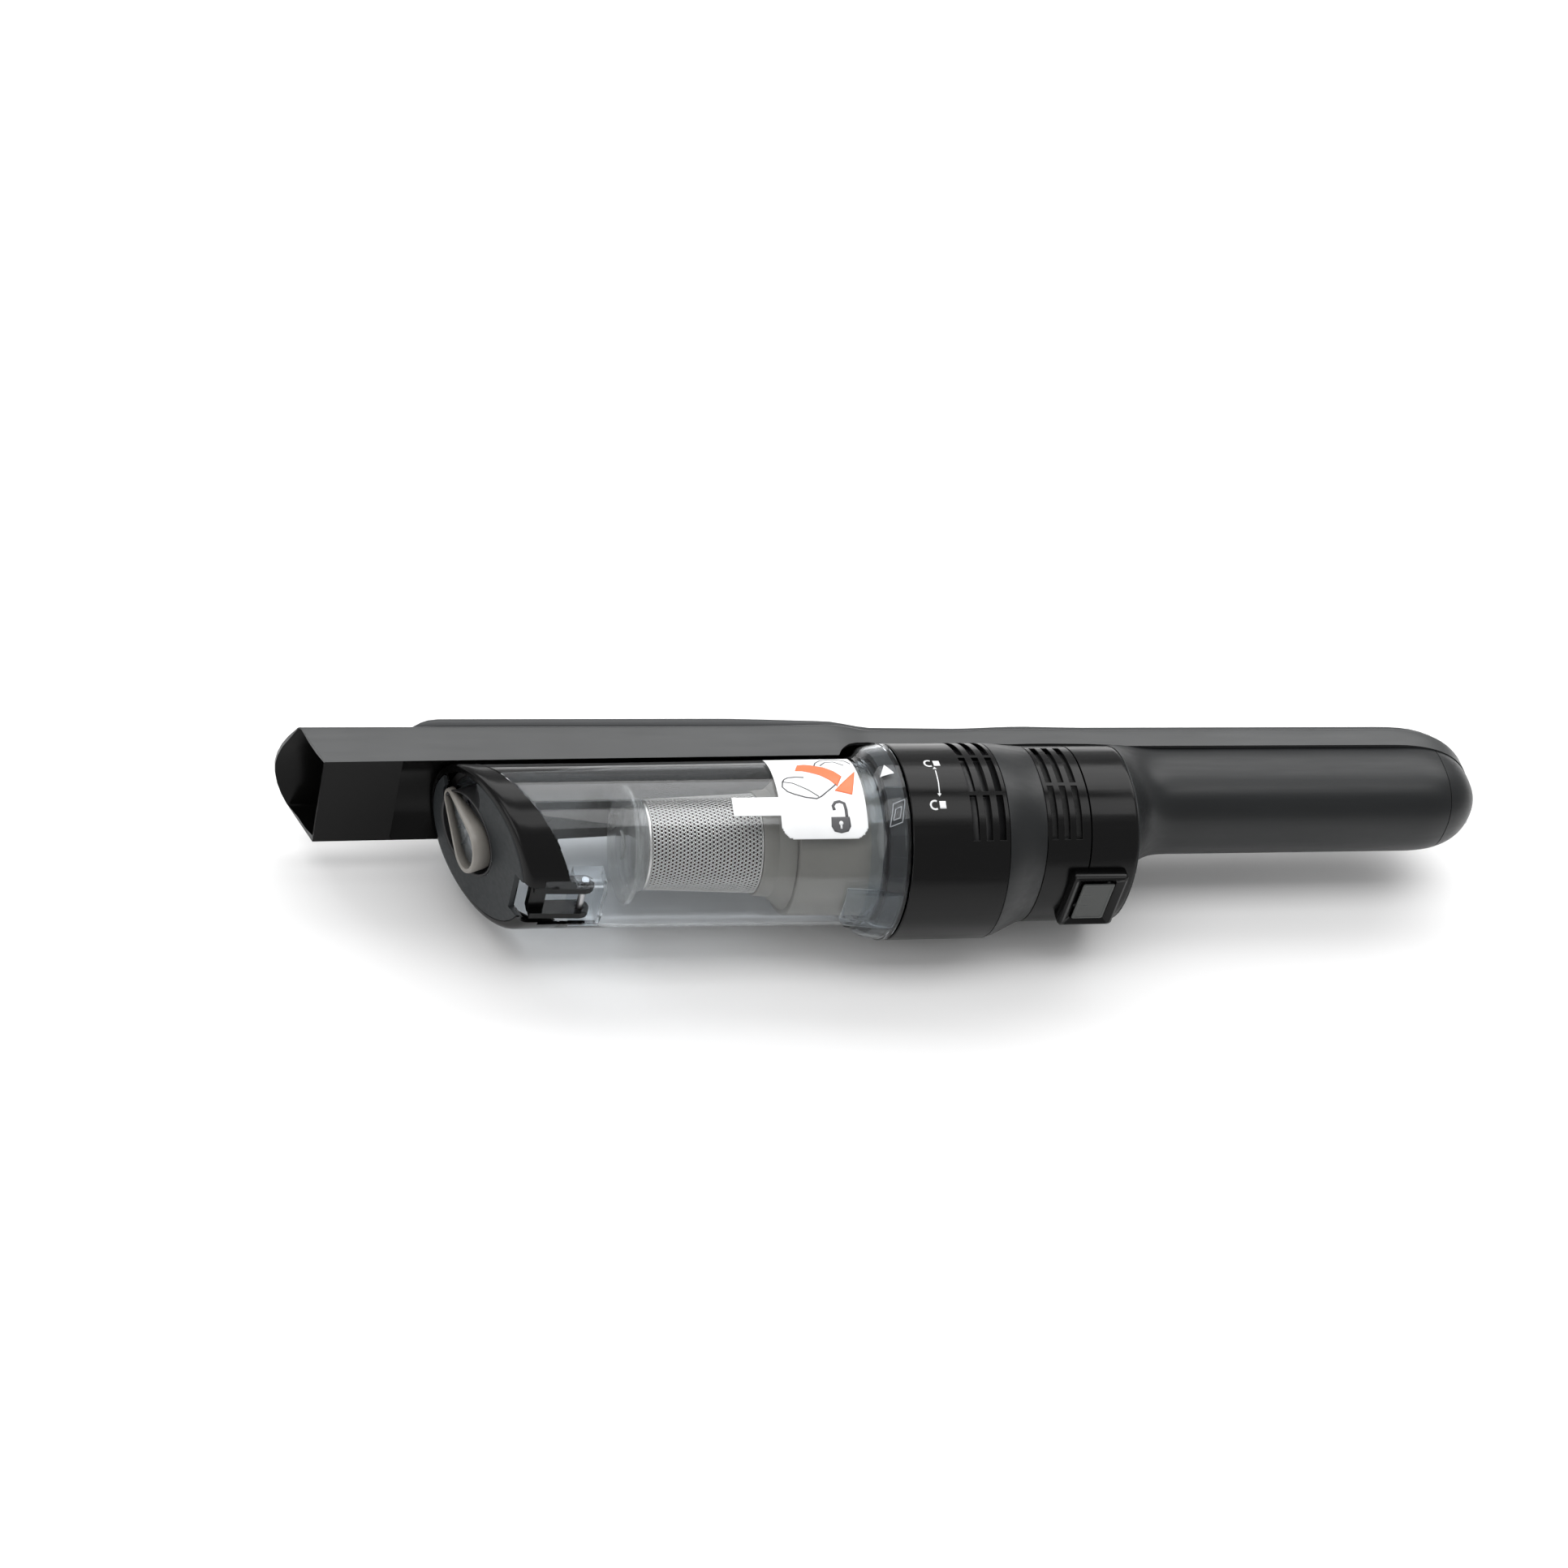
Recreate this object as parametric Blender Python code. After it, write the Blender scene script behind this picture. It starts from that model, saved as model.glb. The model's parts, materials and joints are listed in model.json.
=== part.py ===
"""Slim cordless handheld vacuum, lying on its side.

Axis frame, in millimetres: X runs along the machine with the intake at -X and the handle at +X,
+Y points from the dust bin's axis to the long spine, and Z is the axis across the machine, which
is symmetric about Z = 0. The whole frame hangs on one empty, so that the world origin is at the
middle of the footprint, on the surface that the motor housing lies on.
"""
import math

import bmesh
import bpy
from mathutils import Vector

MM = 0.001
GAP = 0.3
WALL = 2.0

# Footprint: offset of the axis frame from the world origin
FRAME_OFFSET = (-15.55, -7.15, 41.8)

# Spine: intake duct, neck and handle band
MOUTH_X = -236.2
MOUTH_SLANT = 9.3
MOUTH_BULGE = 6.4
DUCT_WIDTH = 24.0
DUCT_LOW = 25.3
DUCT_HIGH = 46.0
DUCT_END = -18.0
SADDLE_X = -203.6
NECK_WIDTH = 20.0
NECK_LOW = 38.4
BAND_WIDTH = 22.0
BAND_LOW = 34.3
CROWN = 3.0
PORT = (-100.0, -72.0, 8.0)

# Rounded end of the handle
END_START = 240.0
END_TIP = 283.0
END_POWER = 2.6
END_Y = 22.0
CAP_X = 266.0

# Motor housing and grip ovals: centre height, half height, half width, exponent
HOUSING_R = 41.7
REAR_OVAL = (3.5, 36.0, 37.0, 2.2)
GRIP_OVAL = (23.0, 23.5, 22.1, 2.4)
TAPER = (43.3, 62.0)
REAR_SEAM = 81.8
REAR_END = 103.2
FLARE_LENGTH = 34.0

# Dust bin
BIN_FRONT_R = 34.0
BIN_REAR_R = 35.3
BIN_WALL = 1.6
SEAM_X = -160.5
SEAM_SLOPE = -0.608
FACE_X = -174.0
FACE_SLOPE = -0.4515
HINGE = (-134.8, -28.1)
COLLAR_R = 41.8

# Latch lever in the door's face: heights along the face from the axis
LATCH_PIVOT = (16.5, -5.0, 7.0)
LATCH_NARROW_R = 3.2
LATCH_WIDE = (0.0, 8.4)
RECESS_V = 8.0
RECESS_R = 19.0

# Handle contents and controls
CELL_R = 9.0
CELL_LENGTH = 65.0
CELL_START = 126.0
BUTTON_X = (114.0, 134.0)
RELEASE_X = (86.3, 98.0)


# ---------------------------------------------------------------- helpers

def material(name, colour, roughness, metallic=0.0, alpha=1.0):
    found = bpy.data.materials.get(name)
    if found:
        return found
    made = bpy.data.materials.new(name)
    made.use_nodes = True
    shader = made.node_tree.nodes["Principled BSDF"]
    shader.inputs["Base Color"].default_value = (*colour, 1.0)
    shader.inputs["Roughness"].default_value = roughness
    shader.inputs["Metallic"].default_value = metallic
    shader.inputs["Alpha"].default_value = alpha
    return made


def add(name, bm, finish, parent, pivot=(0.0, 0.0, 0.0), sharp=35.0):
    """Turn a bmesh in axis-frame millimetres into a named object with its origin on the pivot."""
    bmesh.ops.remove_doubles(bm, verts=bm.verts, dist=1e-4)
    bmesh.ops.delete(bm, geom=[e for e in bm.edges if not e.link_faces], context="EDGES")
    loose = [v for v in bm.verts if not v.link_faces]
    bmesh.ops.delete(bm, geom=loose, context="VERTS")
    bmesh.ops.triangulate(bm, faces=bm.faces)
    bmesh.ops.recalc_face_normals(bm, faces=bm.faces)
    for vert in bm.verts:
        vert.co = (vert.co - Vector(pivot)) * MM
    mesh = bpy.data.meshes.new(name)
    bm.to_mesh(mesh)
    bm.free()
    mesh.materials.append(finish)
    mesh.shade_smooth()
    mesh.set_sharp_from_angle(angle=math.radians(sharp))
    made = bpy.data.objects.new(name, mesh)
    made.location = Vector(pivot) * MM
    made.parent = parent
    bpy.context.collection.objects.link(made)
    return made


def combine(target, tool_bm, operation):
    """Apply a boolean of a bmesh in axis-frame millimetres to an object made by add."""
    bmesh.ops.triangulate(tool_bm, faces=tool_bm.faces)
    bmesh.ops.recalc_face_normals(tool_bm, faces=tool_bm.faces)
    shift = target.location / MM
    for vert in tool_bm.verts:
        vert.co = (vert.co - shift) * MM
    mesh = bpy.data.meshes.new("tool")
    tool_bm.to_mesh(mesh)
    tool_bm.free()
    tool = bpy.data.objects.new("tool", mesh)
    tool.parent = target.parent
    tool.location = target.location
    bpy.context.collection.objects.link(tool)
    modifier = target.modifiers.new("boolean", "BOOLEAN")
    modifier.operation = operation
    modifier.object = tool
    bpy.context.view_layer.update()
    graph = bpy.context.evaluated_depsgraph_get()
    result = bpy.data.meshes.new_from_object(target.evaluated_get(graph))
    target.modifiers.clear()
    target.data = result
    result.set_sharp_from_angle(angle=math.radians(35.0))
    bpy.data.objects.remove(tool)
    return target


def rows_to_verts(bm, rows):
    return [[bm.verts.new(point) for point in row] for row in rows]


def quads_between(bm, first, second, wrap):
    count = len(first)
    last = count if wrap else count - 1
    for i in range(last):
        j = (i + 1) % count
        bm.faces.new((first[i], first[j], second[j], second[i]))


def tube(outer, inner):
    """Open-ended tube whose wall lies between two sets of closed rows."""
    bm = bmesh.new()
    rows = rows_to_verts(bm, outer) + rows_to_verts(bm, list(reversed(inner)))
    for i in range(len(rows)):
        quads_between(bm, rows[i], rows[(i + 1) % len(rows)], True)
    return bm


def cup(outer, inner):
    """Hollow body of closed rows, open at its first row and closed at its last."""
    bm = bmesh.new()
    outside = rows_to_verts(bm, outer)
    inside = rows_to_verts(bm, inner)
    for rows in (outside, inside):
        for i in range(len(rows) - 1):
            quads_between(bm, rows[i], rows[i + 1], True)
        bm.faces.new(rows[-1])
    quads_between(bm, outside[0], inside[0], True)
    return bm


def block(rows):
    """Solid of closed rows with flat ends."""
    bm = bmesh.new()
    made = rows_to_verts(bm, rows)
    for i in range(len(made) - 1):
        quads_between(bm, made[i], made[i + 1], True)
    bm.faces.new(made[0])
    bm.faces.new(made[-1])
    return bm


def trough(outer, inner):
    """Shell between two sets of open rows; a last row drawn to one point closes as a dome."""
    bm = bmesh.new()
    outside = rows_to_verts(bm, outer)
    inside = rows_to_verts(bm, inner)
    for i in range(len(outside) - 1):
        quads_between(bm, outside[i], outside[i + 1], False)
        quads_between(bm, inside[i], inside[i + 1], False)
        for end in (0, -1):
            edge = (outside[i][end], outside[i + 1][end], inside[i + 1][end], inside[i][end])
            bm.faces.new(edge)
    for end in (0, -1):
        quads_between(bm, outside[end], inside[end], False)
    return bm


def circle(x, radius, segments, y=0.0, z=0.0, slope=0.0):
    """Ring round the X direction; a slope shifts X with height, for a slanted cut."""
    points = []
    for i in range(segments):
        angle = 2 * math.pi * i / segments
        height = radius * math.cos(angle)
        points.append((x + slope * height, y + height, z + radius * math.sin(angle)))
    return points


def revolve(profile, segments, y=0.0, z=0.0):
    """Turn a closed (x, radius) outline about an axis along X."""
    rows = [circle(x, radius, segments, y, z) for x, radius in profile]
    bm = bmesh.new()
    made = rows_to_verts(bm, rows)
    for i in range(len(made)):
        quads_between(bm, made[i], made[(i + 1) % len(made)], True)
    return bm


def box(x0, x1, y0, y1, z0, z1):
    loop = ((y0, z0), (y1, z0), (y1, z1), (y0, z1))
    return block([[(x, y, z) for y, z in loop] for x in (x0, x1)])


def rod(start, end, radius, segments, bore=0.0):
    """Round bar or tube between two points."""
    axis = Vector(end) - Vector(start)
    turn = axis.to_track_quat("Z", "Y")
    rings = []
    for size in (radius, bore):
        ring = []
        for i in range(segments):
            angle = 2 * math.pi * i / segments
            ring.append(turn @ Vector((size * math.cos(angle), size * math.sin(angle), 0.0)))
        rings.append(ring)
    outer = [[Vector(base) + p for p in rings[0]] for base in (start, end)]
    if not bore:
        return block(outer)
    inner = [[Vector(base) + p for p in rings[1]] for base in (start, end)]
    return tube(outer, inner)


def coil(start, end, radius, wire, turns, steps=8, sides=4):
    """Helical spring whose axis runs from start to end."""
    start = Vector(start)
    axis = Vector(end) - start
    turn = axis.to_track_quat("Z", "Y")
    rows = []
    for i in range(turns * steps + 1):
        angle = 2 * math.pi * i / steps
        along = wire + (axis.length - 2 * wire) * i / (turns * steps)
        out = Vector((math.cos(angle), math.sin(angle), 0.0))
        row = []
        for k in range(sides):
            lean = 2 * math.pi * k / sides
            spot = out * (radius + wire * math.cos(lean)) + Vector((0, 0, along + wire * math.sin(lean)))
            row.append(start + turn @ spot)
        rows.append(row)
    return block(rows)


def between(x, stops):
    """Piecewise-linear value at x from (x, value) stops."""
    if x <= stops[0][0]:
        return stops[0][1]
    for (x0, v0), (x1, v1) in zip(stops, stops[1:]):
        if x <= x1:
            return v0 + (v1 - v0) * (x - x0) / (x1 - x0)
    return stops[-1][1]


# ---------------------------------------------------------------- spine sections

def spine_width(x):
    neck = ((DUCT_END, DUCT_WIDTH), (-13.5, 23.3), (-8, 21.8), (-2, 20.4), (6, NECK_WIDTH))
    return between(x, neck + ((40, NECK_WIDTH), (58, 21.2), (80, BAND_WIDTH)))


def spine_low(x):
    duct = ((MOUTH_X, DUCT_LOW), (DUCT_END, 27.9), (-17.6, 30.1), (-13.5, 34.2), (-8, 37.1))
    return between(x, duct + ((-2, NECK_LOW), (42, NECK_LOW), (62, 36.0), (103, 35.5), (108, BAND_LOW)))


def spine_edge(x):
    return between(x, ((-60, DUCT_HIGH), (0, 47.0), (50, 46.6), (100, 45.2)))


def arch(x, inset=0.0):
    """Open section over the spine from its +Z rim to its -Z rim, as (y, z)."""
    width = spine_width(x) - inset
    edge = spine_edge(x) - inset
    half = [(spine_low(x), width), (edge - 2.0, width), (edge - 0.6, width - 0.6), (edge, width - 2.0)]
    for share in (0.62, 0.3):
        half.append((edge + CROWN * (1 - share * share), share * width))
    return half + [(edge + CROWN, 0.0)] + [(y, -z) for y, z in reversed(half)]


def underside(x, inset=0.0, saddle=True):
    """Duct floor from its -Z rim to its +Z rim, hollowed over the bin where it is a saddle."""
    width = spine_width(x) - inset
    low = spine_low(x)
    radius = math.hypot(spine_width(x), low) + 0.5
    points = []
    for i in range(1, 8):
        z = -width + 2 * width * i / 8
        height = math.sqrt(radius * radius - z * z) if saddle else low
        points.append((height + inset, z))
    return points


def duct_loop(x, inset=0.0, saddle=True):
    over = arch(x, inset)
    over[0] = (over[0][0] + inset, over[0][1])
    over[-1] = (over[-1][0] + inset, over[-1][1])
    return [(x, y, z) for y, z in over + underside(x, inset, saddle)]


def mouth_loop(inset=0.0):
    """Slanted intake edge whose crowned upper lip reaches furthest forward."""
    loop = []
    top = DUCT_HIGH + CROWN
    for x, y, z in duct_loop(MOUTH_X, inset, False):
        rise = (y - DUCT_LOW) / (top - DUCT_LOW)
        bulge = MOUTH_BULGE * rise * (1 - (z / DUCT_WIDTH) ** 2)
        loop.append((x - MOUTH_SLANT * rise - bulge, y, z))
    return loop


def end_scale(x):
    """Share of the full section left at x, where the handle rounds off."""
    reach = max(0.0, (x - END_START) / (END_TIP - END_START))
    return max(0.0, 1 - reach ** END_POWER) ** (1 / END_POWER)


def rounded(x, points, centre):
    scale = end_scale(x)
    return [(x, centre + (y - centre) * scale, z * scale) for y, z in points]


def end_stations(last=None):
    stops = [END_START + (END_TIP - END_START) * share for share in (0.0, 0.4, 0.66, 0.83, 0.94, 1.0)]
    return stops if last is None else [x for x in stops if x < last] + [last]


def short_of_pole(rows, share=0.6):
    """Inner rows of a dome, with the last row stopped short of the pole."""
    last = [tuple(a + (b - a) * share for a, b in zip(p, q)) for p, q in zip(rows[-2], rows[-1])]
    return rows[:-1] + [last]


# ---------------------------------------------------------------- ovals

def oval_loop(x, oval, segments=32, grow=0.0):
    centre, high, wide, power = oval
    loop = []
    for i in range(segments):
        angle = 2 * math.pi * i / segments
        up = math.cos(angle)
        side = math.sin(angle)
        y = centre + (high + grow) * math.copysign(abs(up) ** (2 / power), up)
        z = (wide + grow) * math.copysign(abs(side) ** (2 / power), side)
        loop.append((x, y, z))
    return loop


def mix_oval(share):
    """Oval between the grip's (share 0) and the rear housing's (share 1)."""
    return tuple(g + (r - g) * share for g, r in zip(GRIP_OVAL, REAR_OVAL))


def grip_arc(oval, inset=0.0, steps=14):
    """Lower part of an oval below the handle band, from +Z to -Z, as (y, z)."""
    centre, high, wide, power = oval
    high = high - inset
    wide = wide - inset
    top = BAND_LOW - GAP
    start = math.asin(min(1.0, (top - centre) / high) ** (power / 2))
    points = []
    for i in range(steps + 1):
        angle = start - (math.pi + 2 * start) * i / steps
        up = math.sin(angle)
        side = math.cos(angle)
        y = centre + high * math.copysign(abs(up) ** (2 / power), up)
        z = wide * math.copysign(abs(side) ** (2 / power), side)
        points.append((y, z))
    points[0] = (top, points[0][1])
    points[-1] = (top, points[-1][1])
    return points


# ---------------------------------------------------------------- spine parts

def make_intake_duct(parent):
    dark = material("satin_grey_plastic", (0.12, 0.125, 0.125), 0.42)
    flat = (-222.0, SADDLE_X - 0.4)
    hollow = (SADDLE_X, -150.0, -100.0, -60.0, DUCT_END)
    outer = [mouth_loop()] + [duct_loop(x, 0.0, False) for x in flat]
    outer += [duct_loop(x) for x in hollow]
    inner = [mouth_loop(WALL)] + [duct_loop(x - WALL, WALL, False) for x in flat]
    inner += [duct_loop(x - WALL, WALL) for x in hollow]
    duct = add("intake_duct", cup(outer, inner), dark, parent)
    combine(duct, box(PORT[0], PORT[1], 30, 40.5, -PORT[2], PORT[2]), "DIFFERENCE")


def make_spine_shell(parent):
    dark = material("satin_grey_plastic", (0.12, 0.125, 0.125), 0.42)
    straight = [-17.6, -13.5, -8.0, -2.0, 6.0, 42.0, 62.0, 80.0, 103.0, 108.0]
    outer = []
    inner = []
    pole = END_Y + 0.2
    for x in straight + end_stations():
        outer.append(rounded(x, arch(x), pole))
        inner.append(rounded(x, arch(x, WALL), pole))
    spine = add("spine_shell", trough(outer, short_of_pole(inner)), dark, parent)
    hole = box(BUTTON_X[0] - 0.5, BUTTON_X[1] + 0.5, 40, 60, -6.5, 6.5)
    combine(spine, hole, "DIFFERENCE")


def cover_arch(x, inset=0.0):
    """Section of the raised cover strip along the spine's back, as (y, z)."""
    grow = between(x, ((-201, 0.62), (-198, 0.8), (-193, 0.93), (-186, 1.0)))
    narrow = between(x, ((-201, 0.55), (-198, 0.8), (-193, 0.95), (-186, 1.0)))
    full = spine_width(x)
    width = (spine_width(x) - 2.6) * narrow - inset
    seat = spine_edge(x) + CROWN * (1 - ((width + inset) / spine_width(x)) ** 2) + GAP + 0.1
    rise = between(x, ((-60, 6.7), (0, 3.9), (60, 3.6)))
    edge = seat + (spine_edge(x) + rise - seat) * grow - inset
    crown = 3.4 * grow
    half = [(seat, width), (edge - 0.7, width), (edge, width - 0.9)]
    for share in (0.6, 0.3):
        half.append((edge + crown * (1 - share * share), share * width))
    half.append((edge + crown, 0.0))
    if inset:
        floor = spine_edge(x) + 2 * GAP
        half = [(max(y, floor + CROWN * (1 - (z / full) ** 2)), z) for y, z in half]
    return half + [(y, -z) for y, z in reversed(half[:-1])]


def make_top_cover(parent):
    grey = material("dark_cover_plastic", (0.055, 0.058, 0.06), 0.45)
    stations = [-201, -198, -193, -186, -100, -60, -18, -8, 0, 6, 42, 62, 80, 150]
    stations += end_stations(last=272.0)
    outer = [rounded(x, cover_arch(x), END_Y) for x in stations]
    inner = [rounded(x, cover_arch(x, 1.6), END_Y) for x in stations]
    cover = add("top_cover", trough(outer, inner), grey, parent)
    hole = box(BUTTON_X[0] - 0.5, BUTTON_X[1] + 0.5, 40, 60, -6.5, 6.5)
    combine(cover, hole, "DIFFERENCE")


def grip_rows(stations, inset):
    rows = []
    flare_start = REAR_END + GAP
    for x in stations:
        reach = min(1.0, max(0.0, (x - flare_start) / FLARE_LENGTH))
        oval = mix_oval((1 - reach) ** 3.2)
        rows.append(rounded(x, grip_arc(oval, inset), END_Y - 0.2))
    return rows


def make_handle_grip(parent):
    charcoal = material("satin_black_plastic", (0.022, 0.024, 0.026), 0.34)
    start = REAR_END + GAP
    stations = [start + FLARE_LENGTH * share for share in (0, 0.07, 0.15, 0.25, 0.4, 0.6, 1.0)]
    stations += end_stations(last=CAP_X)
    shell = trough(grip_rows(stations, 0.0), grip_rows(stations, WALL))
    add("handle_grip", shell, charcoal, parent)


def make_handle_end_cap(parent):
    charcoal = material("satin_black_plastic", (0.022, 0.024, 0.026), 0.34)
    start = CAP_X + GAP
    stations = [start] + [x for x in end_stations() if x > start + 1.0]
    inner = short_of_pole(grip_rows(stations, WALL))
    cap = add("handle_end_cap", trough(grip_rows(stations, 0.0), inner), charcoal, parent)
    combine(cap, rod((260, 10, 0), (290, 10, 0), 3.5, 16), "DIFFERENCE")


# ---------------------------------------------------------------- motor housing

def arc_cutter(x, half_width, r_in, r_out, start, end, side, steps=3):
    """Slot cutter: a sector of a ring, angles in degrees from -Y towards +Z or -Z."""
    loops = []
    for i in range(steps + 1):
        angle = math.radians(start + (end - start) * i / steps)
        loop = []
        for dx, radius in ((-1, r_in), (1, r_in), (1, r_out), (-1, r_out)):
            z = side * radius * math.sin(angle)
            loop.append((x + dx * half_width, -radius * math.cos(angle), z))
        loops.append(loop)
    return block(loops)


def cut_vents(target, first, pitch, start, end):
    for side in (1, -1):
        for i in range(3):
            tool = arc_cutter(first + pitch * i, 1.35, 25, 46, start, end, side)
            combine(target, tool, "DIFFERENCE")


def make_motor_housing(parent):
    gloss = material("gloss_black_plastic", (0.012, 0.012, 0.013), 0.12)
    profile = ((GAP, HOUSING_R), (TAPER[0] - GAP, HOUSING_R), (TAPER[0] - GAP, HOUSING_R - WALL),
               (3.0, HOUSING_R - WALL), (3.0, 15.0), (GAP, 15.0))
    front = add("motor_housing", revolve(profile, 32), gloss, parent)
    cut_vents(front, 28.4, 6.0, 47, 132)


def make_taper_ring(parent):
    satin = material("satin_dark_plastic", (0.035, 0.037, 0.04), 0.38)
    round_oval = (0.0, HOUSING_R, HOUSING_R, 2.0)
    outer = [oval_loop(TAPER[0], round_oval), oval_loop(TAPER[1], REAR_OVAL)]
    inner = [oval_loop(TAPER[0], round_oval, grow=-WALL), oval_loop(TAPER[1], REAR_OVAL, grow=-WALL)]
    add("motor_taper_ring", tube(outer, inner), satin, parent)


def make_rear_housing(parent):
    gloss = material("gloss_black_plastic", (0.012, 0.012, 0.013), 0.12)
    ends = (TAPER[1] + GAP, REAR_SEAM)
    outer = [oval_loop(x, REAR_OVAL) for x in ends]
    inner = [oval_loop(x, REAR_OVAL, grow=-WALL) for x in ends]
    rear = add("motor_housing_rear", tube(outer, inner), gloss, parent)
    cut_vents(rear, 65.2, 5.3, 47, 128)


def make_rear_cap(parent):
    gloss = material("gloss_black_plastic", (0.012, 0.012, 0.013), 0.12)
    start = REAR_SEAM + GAP
    outer = [oval_loop(start, REAR_OVAL), oval_loop(REAR_END - 1.0, REAR_OVAL),
             oval_loop(REAR_END, REAR_OVAL, grow=-1.0)]
    inner = [oval_loop(start, REAR_OVAL, grow=-WALL), oval_loop(REAR_END - 1.0, REAR_OVAL, grow=-WALL),
             oval_loop(REAR_END, REAR_OVAL, grow=-WALL - 0.5)]
    cap = add("rear_cap", tube(outer, inner), gloss, parent)
    window = box(RELEASE_X[0] - 0.4, RELEASE_X[1] + 0.4, -40, -20, -7.8, 7.8)
    combine(cap, window, "DIFFERENCE")


def make_release(parent):
    gloss = material("gloss_black_plastic", (0.012, 0.012, 0.013), 0.12)
    grey = material("grey_plastic", (0.19, 0.205, 0.205), 0.35)
    rows = []
    for inset, y in ((0.0, -26.0), (0.0, -34.8), (1.5, -36.3)):
        x0 = 77.6 + inset
        x1 = 100.2 - inset
        side = 15.0 - inset
        rows.append([(x0, y, -side), (x1, y, -side), (x1, y, side), (x0, y, side)])
    guard = add("release_guard", block(rows), gloss, parent)
    hull = block([oval_loop(x, REAR_OVAL, grow=0.35) for x in (70, 110)])
    combine(guard, hull, "DIFFERENCE")
    window = box(RELEASE_X[0] - 0.4, RELEASE_X[1] + 0.4, -40, -20, -7.8, 7.8)
    combine(guard, window, "DIFFERENCE")
    button = cup([[(x, y, z) for x, z in button_outline(0.0)] for y in (-29.5, -34.6)],
                 [[(x, y, z) for x, z in button_outline(1.4)] for y in (-29.5, -33.2)])
    pivot = ((RELEASE_X[0] + RELEASE_X[1]) / 2, -34.6, 0.0)
    add("release_button", button, grey, parent, pivot)
    steel = material("spring_steel", (0.5, 0.5, 0.5), 0.3, 1.0)
    middle = pivot[0]
    add("release_spring", coil((middle, -32.9, 0), (middle, -24.3, 0), 2.6, 0.35, 4), steel, parent)
    seat = material("inner_black_plastic", (0.03, 0.03, 0.032), 0.55)
    add("release_seat", box(84.5, 100.0, -24.0, -22.0, -9.0, 9.0), seat, parent)


def button_outline(inset):
    x0 = RELEASE_X[0] + inset
    x1 = RELEASE_X[1] - inset
    side = 7.4 - inset
    cut = 1.2
    return ((x0 + cut, -side), (x1 - cut, -side), (x1, cut - side), (x1, side - cut),
            (x1 - cut, side), (x0 + cut, side), (x0, side - cut), (x0, cut - side))


# ---------------------------------------------------------------- motor and fan

def make_motor(parent, rotor):
    steel = material("brushed_steel", (0.45, 0.45, 0.46), 0.35, 1.0)
    dark = material("inner_black_plastic", (0.03, 0.03, 0.032), 0.55)
    can = ((24, 20), (74, 20), (74, 18.5), (25.6, 18.5), (25.6, 10), (31, 10), (31, 8.4), (25.6, 8.4),
           (25.6, 3.4), (24, 3.4))
    add("motor_can", revolve(can, 18), steel, parent)
    bell = ((74.4, 20), (78, 18), (81, 11), (81, 8.4), (76, 8.4), (76, 3.4), (74.4, 3.4))
    add("motor_end_bell", revolve(bell, 18), dark, parent)
    for name, x in (("bearing_front", 26.0), ("bearing_rear", 76.4)):
        ring = ((x, 8.0), (x + 4.2, 8.0), (x + 4.2, 2.9), (x, 2.9))
        add(name, revolve(ring, 14), steel, parent)
    stack = ((36, 18.1), (62, 18.1), (62, 11.6), (36, 11.6))
    add("stator_stack", revolve(stack, 18), material("iron", (0.25, 0.2, 0.17), 0.5, 0.8), parent)
    mount = ((47, 33.2), (51, 33.2), (51, 20.4), (47, 20.4))
    add("motor_mount_ring", revolve(mount, 24), material("black_rubber", (0.02, 0.02, 0.02), 0.8), parent)
    shroud = ((5.6, 12), (9, 12), (20.6, 33.6), (20.6, 36.5), (18.6, 36.5), (18.6, 34.4), (7.4, 13.6),
              (5.6, 13.6))
    add("fan_shroud", revolve(shroud, 24), dark, parent)
    shaft = ((7, 0), (7, 2.5), (82, 2.5), (82, 0))
    add("motor_shaft", revolve(shaft, 12), steel, rotor)
    magnet = ((36.5, 11.1), (61.5, 11.1), (61.5, 2.9), (36.5, 2.9))
    add("rotor_magnet", revolve(magnet, 14), material("magnet", (0.2, 0.2, 0.21), 0.4, 0.6), rotor)
    make_impeller(rotor)


def make_impeller(rotor):
    """Back plate and hub with swept blades standing on it, under the shroud's cone."""
    white = material("nylon", (0.6, 0.6, 0.58), 0.4)
    plate = ((21.2, 32.5), (22.8, 32.5), (22.8, 2.9), (10.5, 2.9), (10.5, 6.0), (21.2, 8.0))
    wheel = add("impeller", revolve(plate, 20), white, rotor)
    blades = 7
    for i in range(blades):
        rows = []
        for share in (0.0, 0.5, 1.0):
            radius = 7.0 + 24.5 * share
            angle = 2 * math.pi * i / blades + 0.9 * share
            nose = 21.2 - 9.0 * (1 - share)
            loop = []
            for x, side in ((nose - 0.4, -0.6), (nose - 0.4, 0.6), (21.6, 0.6), (21.6, -0.6)):
                y = radius * math.cos(angle) - side * math.sin(angle)
                z = radius * math.sin(angle) + side * math.cos(angle)
                loop.append((max(x, 11.5), y, z))
            rows.append(loop)
        combine(wheel, block(rows), "UNION")


def make_exhaust_foam(parent):
    foam = material("exhaust_foam", (0.03, 0.03, 0.03), 0.95)
    ends = (62.8, 80.5)
    outer = [oval_loop(x, REAR_OVAL, 24, grow=-WALL - 0.5) for x in ends]
    inner = [oval_loop(x, REAR_OVAL, 24, grow=-WALL - 3.5) for x in ends]
    add("exhaust_foam", tube(outer, inner), foam, parent)


# ---------------------------------------------------------------- handle contents

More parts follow.
